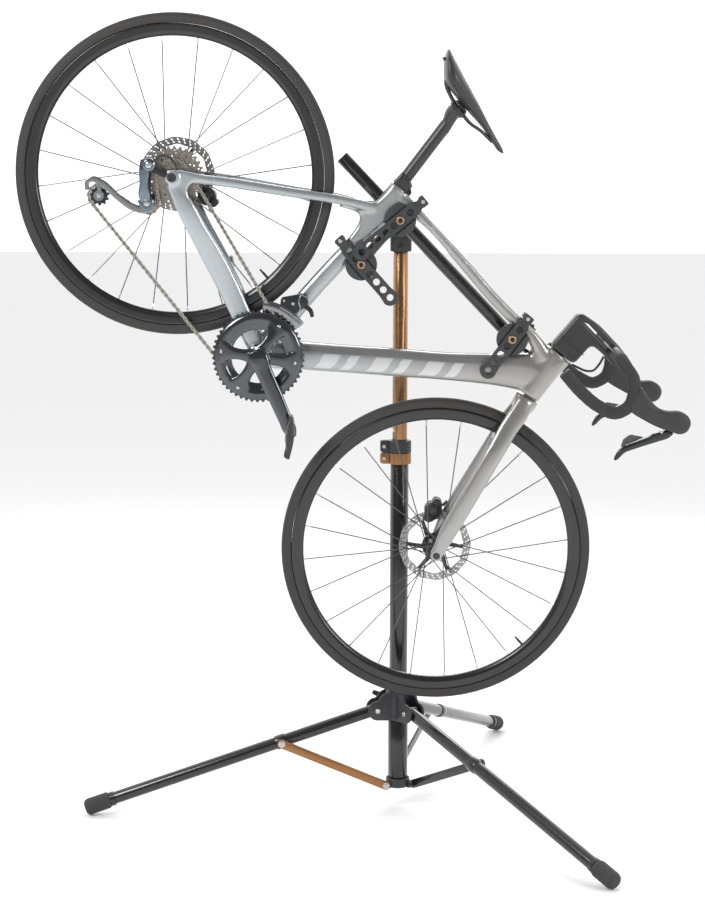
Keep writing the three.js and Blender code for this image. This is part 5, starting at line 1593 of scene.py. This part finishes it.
def belt_line(wheels):
    """Arcs about the wheels joined by their common tangents. A tangent's normal stands off the line
    of centres by acos of the sum or difference of the radii over their distance."""
    line = []

    def touch(a, b, leaving):
        d = np.subtract(b[0], a[0])
        lean = math.acos((a[2] * a[1] - b[2] * b[1]) / np.linalg.norm(d))
        normal = math.atan2(d[1], d[0]) + lean
        flipped = a[2] < 0 if leaving else b[2] < 0
        return normal + (math.pi if flipped else 0)

    for i, wheel in enumerate(wheels):
        after = wheels[(i + 1) % len(wheels)]
        start, stop = touch(wheels[i - 1], wheel, False), touch(wheel, after, True)
        swing = (stop - start) % (-wheel[2] * 2 * math.pi)
        t = start + swing * np.linspace(0, 1, max(6, int(abs(swing) / 0.05)))
        line.append(np.stack([wheel[0][0] + wheel[1] * np.cos(t),
                              wheel[0][1] + wheel[1] * np.sin(t)], 1))
    return np.vstack(line)


belt = belt_line(BELT)
belt = np.vstack([belt, belt[:1]])
run_length = np.concatenate([[0], np.cumsum(np.linalg.norm(np.diff(belt, axis=0), axis=1))])
links = int(round(run_length[-1] / PITCH / 2)) * 2
pins_at = np.linspace(0, run_length[-1], links, endpoint=False)
pins = np.stack([np.interp(pins_at, run_length, belt[:, k]) for k in (0, 1)], 1)
print("chain:", links, "links, pitch", round(run_length[-1] / links, 2), "mm")


def link_plate(length, waist, end, low, high):
    """Half circles about the two pins, drawn in at the waist."""
    t = np.linspace(-1.9, 1.9, 9)
    far = np.stack([length / 2 + end * np.cos(t), end * np.sin(t)], 1)
    outline = np.vstack([far, [[0, waist]], -far, [[0, -waist]]])
    return plate(outline, low, high, edge=0)


pitch = run_length[-1] / links
wide = joined(link_plate(pitch, 2.9, 4.0, -2.8, -1.9), link_plate(pitch, 2.9, 4.0, 1.9, 2.8))
narrow = joined(link_plate(pitch, 2.7, 3.8, -1.8, -1.0), link_plate(pitch, 2.7, 3.8, 1.0, 1.8))
roller = joined(turned([(0, -1), (3.7, -1), (3.7, 1), (0, 1)], 10),
                turned([(0, -2.95), (1.5, -2.95), (1.5, 2.95), (0, 2.95)], 8))
step = np.roll(pins, -1, 0) - pins
heading = turns_about(1, -np.arctan2(step[:, 1], step[:, 0]))
middles = (pins + np.roll(pins, -1, 0)) / 2
middles = np.insert(middles, 1, CHAIN_Y, axis=1)
chain_look = finish("chain_plate", (0.26, 0.245, 0.21), (0.5, 0.47, 0.41), (0.24, 0.4), metal=1.0,
                    fine=2600,
                    bump=0.1, wear=0.2)
piece("chain_links", [copies(wide, middles[::2], heading[::2]),
                      copies(narrow, middles[1::2], heading[1::2])],
      on_bike, "bike", chain_look, ["chain"])
piece("chain_rollers", copies(roller, np.insert(pins, 1, CHAIN_Y, axis=1)), on_bike, "bike",
      dark_steel)

# %% [markdown]
# ## Cranks, chainrings and pedals
#
# The right crank has four arms that reach the big ring's bolts, in two close pairs. Crank arms
# are hollow forgings with soft, flat faces, so they are lofts with squared corners.

# %% Chainrings and cranks
CRANK_END = np.array((170.0, -33.0))
crank_turn = math.atan2(CRANK_END[1], CRANK_END[0])
BIG_TEETH, BIG_TIP = 50, 99.0
crank_look = finish("crank_gloss", (0.03, 0.033, 0.037), (0.1, 0.106, 0.114), (0.12, 0.2),
                    metal=0.85, fine=1400,
                    broad=12, bump=0.02, coat=0.8, coat_rough=0.06)
ring_look = finish("chainring_grey", (0.035, 0.037, 0.04), (0.11, 0.115, 0.12), (0.26, 0.38),
                   metal=0.8, fine=1800,
                   bump=0.06)
silver_look = finish("machined_silver", (0.45, 0.46, 0.47), (0.68, 0.69, 0.7), (0.16, 0.28),
                     metal=1.0, fine=2400,
                     bump=0.05)
ARM_TURNS = crank_turn + np.radians((57, 122, 238, 303))
big_ring = plate(toothed(BIG_TEETH, BIG_TIP - 4.6, BIG_TIP - 0.2), -49.4, -46.8,
                 [circle(0, 0, 83, 96)], edge=0.5)
big_face = turned([(57, -45.2), (57.6, -47.6), (64, -49), (69, -50.4), (73, -53), (80, -54.6),
                   (88, -53.4),
                   (93, -50.6), (94, -47.4)],
                  144, soften=1.2, ring=True)
small_ring = plate(toothed(36, SMALL_RING_R - 4.6, SMALL_RING_R - 0.4), -42.6, -40.2,
                   [circle(0, 0, 58, 72)], edge=0.3)
tab = plate(rounded([(44, -7), (60, -8), (60, 8), (44, 7)], 3), -46, -40.4, edge=0.6)
ring_bolts = turned([(0, -55.6), (3.6, -55.6), (4.6, -54.8), (4.6, -52), (0, -52)], 20, (78, 0, 0),
                    soften=0.3)
arms = []
for t in ARM_TURNS:
    u = np.array((math.cos(t), math.sin(t)))
    line = curve([((u * s)[0], y, (u * s)[1], d, w) for s, y, d, w in
                  ((8, -56, 20, 6), (24, -55.6, 14, 6), (42, -54.6, 12, 5.6), (56, -53.2, 14.5, 5),
                   (68, -52.2, 21, 4.4),
                   (80, -51.8, 30, 3.6))], 24)
    arms.append(tube(line[:, :3], line[:, 3:], 28, across=(0, 1, 0), square=0.8, dome=1.5))
boss = turned([(0, -60.6), (9, -60.8), (20, -59.6), (27, -56), (28, -50), (22, -46), (0, -46)], 48,
              soften=1.5)
right_arm = bike_tube([(-14, -62, 3.5, 17, 6), (-4, -63.6, 1, 20.5, 7), (30, -64.6, -6, 18, 7.6),
                       (90, -68, -17, 16.6, 7), (140, -70, -27, 15, 6.6),
                       (168, -70, -32.6, 14, 6.6),
                       (182, -70, -35.4, 8, 5)], 60, 36, 0.72, dome=1)
crank_arm = piece("crank_right_arm", [right_arm, boss, *arms, big_face], on_bike, "crank",
                  crank_look,
                  ["crankset_right"])
moulded(crank_arm, 0.0013, 5)
piece("chainring_teeth", [big_ring, small_ring,
                          copies(tab, np.zeros((4, 3)), turns_about(1, -ARM_TURNS))],
      on_bike, "crank", ring_look)
piece("chainring_bolts", copies(ring_bolts, np.zeros((4, 3)), turns_about(1, -ARM_TURNS)), on_bike,
      "crank",
      silver_look)
piece("crank_axle", [rod((0, -43.6, 0), (0, 43.6, 0), 12, 32),
                     turned([(0, -61.8), (7, -61.8), (8.4, -60.8), (0, -60.4)], 24)], on_bike,
      "crank", hub_look)
left_arm = bike_tube([(12, 57, -2.4, 15, 8), (-4, 58, 1, 19, 8.6), (-60, 62, 12, 15, 7.4),
                      (-120, 66, 23.4, 13, 7),
                      (-170, 69, 33, 12, 6.8), (-181, 69, 35.2, 7, 5)], 60, 36, 0.75, dome=1)
left_boss = turned([(0, 44), (17, 44), (18, 45.4), (18, 58), (15, 60.4), (0, 60.4)], 44, soften=0.8)
left_cap = turned([(0, 66), (6, 66), (8.6, 68.2), (8.6, 69), (5.5, 69), (5.5, 67.8), (0, 67.8)], 32)
piece("crank_left_arm", [left_arm, left_boss], on_bike, "crank", crank_look,
      ["crank_left"])
piece("crank_left_fittings", [left_cap], on_bike, "crank", silver_look)
cups = [turned([(13.4, y0), (24.8, y0), (25.6, y0 + 0.8), (25.6, y1 - 0.8), (24.8, y1), (13.4, y1)],
               48, ring=True)
        for y0, y1 in ((-43.4, -40.5), (40.5, 43.4))]
piece("bottom_bracket_cups", cups, on_bike, "bike", hub_look)

# %% Pedals
PEDAL_DOWN = np.array((0.772, -0.636))
pedal_look = finish("pedal_composite", (0.014, 0.014, 0.015), (0.04, 0.04, 0.042), (0.34, 0.5),
                    fine=900, broad=30,
                    bump=0.5)
for name, side, hub_at in (("right", -1, CRANK_END), ("left", 1, -CRANK_END)):
    across_way = np.array((-PEDAL_DOWN[1], PEDAL_DOWN[0]))

    def at(s, w, hub_at=hub_at, across_way=across_way):
        return tuple(hub_at + PEDAL_DOWN * s + across_way * w)

    def over(s, y, half, wide):
        x, z = at(s, 0)
        return (x, side * y, z, half, wide)

    body = bike_tube([over(-41, 105, 2.5, 18), over(-32, 105, 5.5, 23), over(-10, 105, 8.6, 25),
                      over(10, 105, 8.8, 25.5),
                      over(32, 105, 6.4, 25), over(49, 105, 3.4, 23)], 40, 40, 0.62, dome=1)
    claw = [plate(rounded([at(-41, -5), at(-30, -9.4), at(-22, -9.2), at(-24, -6), at(-34, -3)], 2),
                  *sorted((side * 94, side * 117)), edge=1),
            plate(rounded([at(30, -8), at(44, -9.4), at(50, -5), at(46, -2), at(33, -4)], 2),
                  *sorted((side * 90, side * 121)), edge=1)]
    piece(f"pedal_{name}_body", [body, *claw], on_bike, f"pedal_{name}", pedal_look,
          [f"pedal_{name}"])
    x, z = at(0, 0)
    spindle = turned([(0, 77.8), (7.6, 77.8), (7.8, 79), (6.4, 82), (6.4, 86), (9.4, 90),
                      (9.4, 119.6), (0, 119.8)], 32,
                     (x, 0, z), (0, side, 0), soften=0.5)
    piece(f"pedal_{name}_spindle", spindle, on_bike, f"pedal_{name}", dark_steel)
    wear_plate = plate(rounded([at(-12, -10.4), at(14, -10.4), at(14, -8.6), at(-12, -8.6)], 0.6),
                       *sorted((side * 92, side * 118)), edge=0.3)
    piece(f"pedal_{name}_wear_plate", wear_plate, on_bike, f"pedal_{name}", silver_look)

# %% [markdown]
# ## Derailleurs and brake callipers
#
# The rear derailleur is a parallelogram: two links between an upper and a lower knuckle, with a
# cage of two plates and two small toothed wheels below. Its parts are forged and rounded, with
# screws that catch the light.

# %% Rear derailleur and cage
mech_look = finish("derailleur_blue_grey", (0.05, 0.068, 0.085), (0.26, 0.31, 0.35), (0.1, 0.2),
                   metal=1.0,
                   fine=1600, broad=20, bump=0.05, coat=0.5)
mech_dark = finish("derailleur_dark", (0.016, 0.018, 0.02), (0.05, 0.054, 0.06), (0.26, 0.4),
                   metal=0.6, fine=1600,
                   bump=0.1)
cage_look = finish("cage_steel", (0.14, 0.145, 0.15), (0.4, 0.41, 0.42), (0.16, 0.28), metal=1.0,
                   fine=1800, bump=0.05)
hanger = plate(rounded([(-426, 70), (-418, 59), (-448, 40), (-462, 42), (-464, 53), (-450, 57)], 5,
                       steps=4),
               -82.6, -78, edge=1.6, steps=3)
upper_knuckle = [turned([(0, -89.6), (10, -89.6), (13.6, -87), (13.8, -75), (12.5, -72.4),
                         (0, -72.4)], 40,
                        (-460, 0, 47), soften=1.2)]
outer_link = bike_tube([(-474, -78, 46, 9, 4), (-456, -78.5, 32, 11.5, 5.5), (-436, -77, 16, 9, 5),
                        (-412, -72, 0, 12, 5), (-404, -70, -4, 10, 4)], 40, 28, 0.9, dome=1.5)
inner_link = bike_tube([(-466, -66.5, 48, 7, 2.6), (-440, -64.5, 25, 8, 3), (-406, -60.5, 1, 8, 3)],
                       30, 24, 0.75, dome=1)
lower_knuckle = [turned([(0, -70), (13, -70), (16.6, -67), (16.8, -54), (15, -50.6), (0, -50.6)],
                        44,
                        (JOCKEY_UPPER[0], 0, JOCKEY_UPPER[1]), soften=1.4)]
spring_box = bike_tube([(-456, -70, 38, 7, 8), (-440, -69, 26, 7, 8), (-424, -67, 14, 6, 7)], 20,
                       24, 0.7, dome=1)
piece("rear_derailleur_links", [*upper_knuckle, outer_link, *lower_knuckle], on_bike, "bike",
      mech_look,
      ["rear_derailleur"])
piece("rear_derailleur_inner", [inner_link, spring_box, hanger], on_bike, "bike", mech_dark)
bolt_spots = [(-460, -90, 47, 6.4), (-398, -70.2, -5, 6.0), (-470, -81, 45, 3.0),
              (-407, -73.6, -2, 3.0)]
piece("rear_derailleur_bolts",
      [turned([(0, y - 1.6), (r * 0.62, y - 1.6), (r, y - 0.9), (r, y + 1), (0, y + 1)], 24,
              (x, 0, z), soften=0.3)
       for x, y, z, r in bolt_spots], on_bike, "bike", silver_look)
housing = curve([(-452, -74, 50), (-462, -74, 64), (-458, -73, 84), (-436, -71, 92),
                 (-408, -69, 84)], 40)
piece("shift_housing_loop", tube(housing, 2.2, 14, dome=1), on_bike, "bike", hose_look)
(ux, uz), (lx, lz) = JOCKEY_UPPER, JOCKEY_LOWER
CAGE_ARM = [(ux + 2, uz + 15, 4.5), (ux + 13, uz + 5, 5.5), (ux + 8, uz - 16, 6.5),
            (ux - 14, uz - 34, 7),
            (ux - 44, uz - 45, 6), (lx - 20, lz + 19, 6), (lx - 36, lz + 8, 5.5),
            (lx - 37, lz - 4, 4), (lx - 24, lz - 14, 3.4)]
cage = []
for y, thick in ((-48.8, 0.9), (-34.3, 0.8)):
    line = curve([(x, y, z, half, thick) for x, z, half in CAGE_ARM], 60)
    cage.append(tube(line[:, :3], line[:, 3:], 20, across=(0, 1, 0), square=0.6))
    cage += [turned([(5, y - thick), (11, y - thick), (11, y + thick), (5, y + thick)], 30,
                    (x, 0, z), ring=True)
             for x, z in (JOCKEY_UPPER, JOCKEY_LOWER)]
    cage.append(bike_tube([(ux + 6, y, uz - 8, 4.5, thick), (ux + 10, y, uz - 18, 5, thick)], 6, 16,
                          0.7))
    cage.append(bike_tube([(lx - 6, y, lz + 6, 4.5, thick), (lx - 22, y, lz + 16, 5, thick)], 6, 16,
                          0.7))
jockeys = [copies(plate(toothed(11, 17.6, 21.6), -42.6, -40, [circle(0, 0, 5, 20)], edge=0.4),
                  [(x, 0, z)])
           for x, z in (JOCKEY_UPPER, JOCKEY_LOWER)]
jockey_pins = [turned([(0, -50.6), (4.4, -50.6), (5, -49.8), (5, -33.4), (0, -33.4)], 24, (x, 0, z),
                      soften=0.3)
               for x, z in (JOCKEY_UPPER, JOCKEY_LOWER)]
piece("derailleur_cage_plates", cage, on_bike, "bike", cage_look, ["derailleur_cage"])
piece("derailleur_jockeys", jockeys, on_bike, "bike", mech_dark)
piece("derailleur_jockey_pins", jockey_pins, on_bike, "bike", silver_look)


# %% Front derailleur
def ring_sector(r_out, r_in, start, stop, low, high, edge=0.5):
    """Part of a ring between two turns in degrees."""
    out = np.radians(np.linspace(start, stop, 16))
    back = out[::-1]
    outline = np.vstack([np.stack([r_out * np.cos(out), r_out * np.sin(out)], 1),
                         np.stack([r_in * np.cos(back), r_in * np.sin(back)], 1)])
    return plate(rounded(outline, 3), low, high, edge=edge)


fd_wire = tube(curve([(-28, -49, 120), (-34, -50, 132), (-48, -50, 138), (-56, -49, 150),
                      (-44, -47, 158)], 30), 1.6, 12, dome=1)
fd_cage = [fd_wire, ring_sector(113.8, 103.8, 91, 140, -47, -45.6),
           ring_sector(119.8, 92.2, 91, 140, -36.8, -35.2),
           ring_sector(117.8, 112.6, 100, 122, -47, -35.2)]
fd_arm = [plate(rounded([(-75, 110), (-58, 96), (-28, 118), (-30, 152), (-54, 158)], 6, steps=4),
                -35.8, -21.4, edge=2, steps=3),
          turned([(0, -38.6), (5, -38.6), (6.6, -37.4), (6.6, -20.4), (0, -20.4)], 28,
                 (-50, 0, 124), soften=0.5),
          bike_tube([(-30, -30, 142, 5, 4), (-16, -31, 146, 5, 4), (-4, -32, 142, 4, 3.4)], 16, 18,
                    0.8, dome=1.5)]
piece("front_derailleur_cage", fd_cage, on_bike, "bike", cage_look, ["front_derailleur"])
piece("front_derailleur_arm", fd_arm, on_bike, "bike", mech_dark)
piece("front_derailleur_screws", [socket_screw((-50, -38.4, 124), (0, -1, 0), 3.6, 2.0),
                                  socket_screw((-66, -36, 112), (0, -1, 0), 2.6, 1.8)], on_bike,
      "bike", silver_look)


# %% Brake callipers
def calliper(x, z, heading, low, high, slot_at):
    """Two rounded halves on each side of the disc, with round drums and piston caps, two bolts and a
    hose fitting.
    """
    c, s = math.cos(heading), math.sin(heading)

    def corner(a, b):
        return (x + a * c - b * s, z + a * s + b * c)

    outline = rounded([corner(-27.6, -12.6), corner(27.6, -12.6), corner(29.6, 4), corner(16, 13.6),
                       corner(-16, 13.6), corner(-29.6, 4)], 7, steps=5)
    halves = [plate(outline, low + 0.3, slot_at - 2.3, edge=3, steps=4),
              plate(outline, slot_at + 2.3, high - 0.3, edge=3, steps=4)]
    pistons = [turned([(0, y), (8.4, y), (9.4, y + 1.4 * d), (9.4, y + 3 * d), (0, y + 3 * d)], 32,
                      (corner(0, -1)[0], 0, corner(0, -1)[1])) for y,
               d in ((low - 0.6, 1), (high + 0.6, -1))]
    bolts = [socket_screw((corner(a, 4)[0], low + 0.4, corner(a, 4)[1]), (0, -1, 0), 3.2,
                          2.6) for a in (-22, 22)]
    banjo = rod((corner(-20, 12)[0], (low + slot_at) / 2, corner(-20, 12)[1]),
                (corner(-34, 15)[0], (low + slot_at) / 2, corner(-34, 15)[1]), 3.2, 18, edge=0.6)
    drums = [turned([(0, a), (18, a), (20, a + 2 * d), (20, slot_at - 2.4 * d),
                     (0, slot_at - 2.4 * d)], 40,
                    (x, 0, z), soften=1.2) for a, d in ((low + 0.3, 1), (high - 0.3, -1))]
    return [*halves, *drums], pistons, bolts, banjo


pad_look = finish("calliper_black", (0.014, 0.015, 0.016), (0.045, 0.047, 0.05), (0.24, 0.38),
                  metal=0.5, fine=1500,
                  bump=0.15, coat=0.3)
for name, body, spec in (("front", "steering", (506, 112, -1.12, 25, 58, 39.5)),
                         ("rear", "bike", (-338, 96, 0.12 + math.pi, 38, 74, 55.7))):
    halves, pistons, bolts, banjo = calliper(*spec)
    piece(f"{name}_calliper_body", [*halves, banjo], on_bike, body, pad_look,
          [f"{name}_caliper"])
    piece(f"{name}_calliper_bolts", [*bolts, *pistons], on_bike, body, dark_steel)
print("drivetrain made")

# %% [markdown]
# ## Pieces and triangles
#
# The last line prints how many pieces were made and how many triangles they have.

# %% Count the pieces and triangles
print("pieces:", len(made), "triangles:", sum(made.values()))
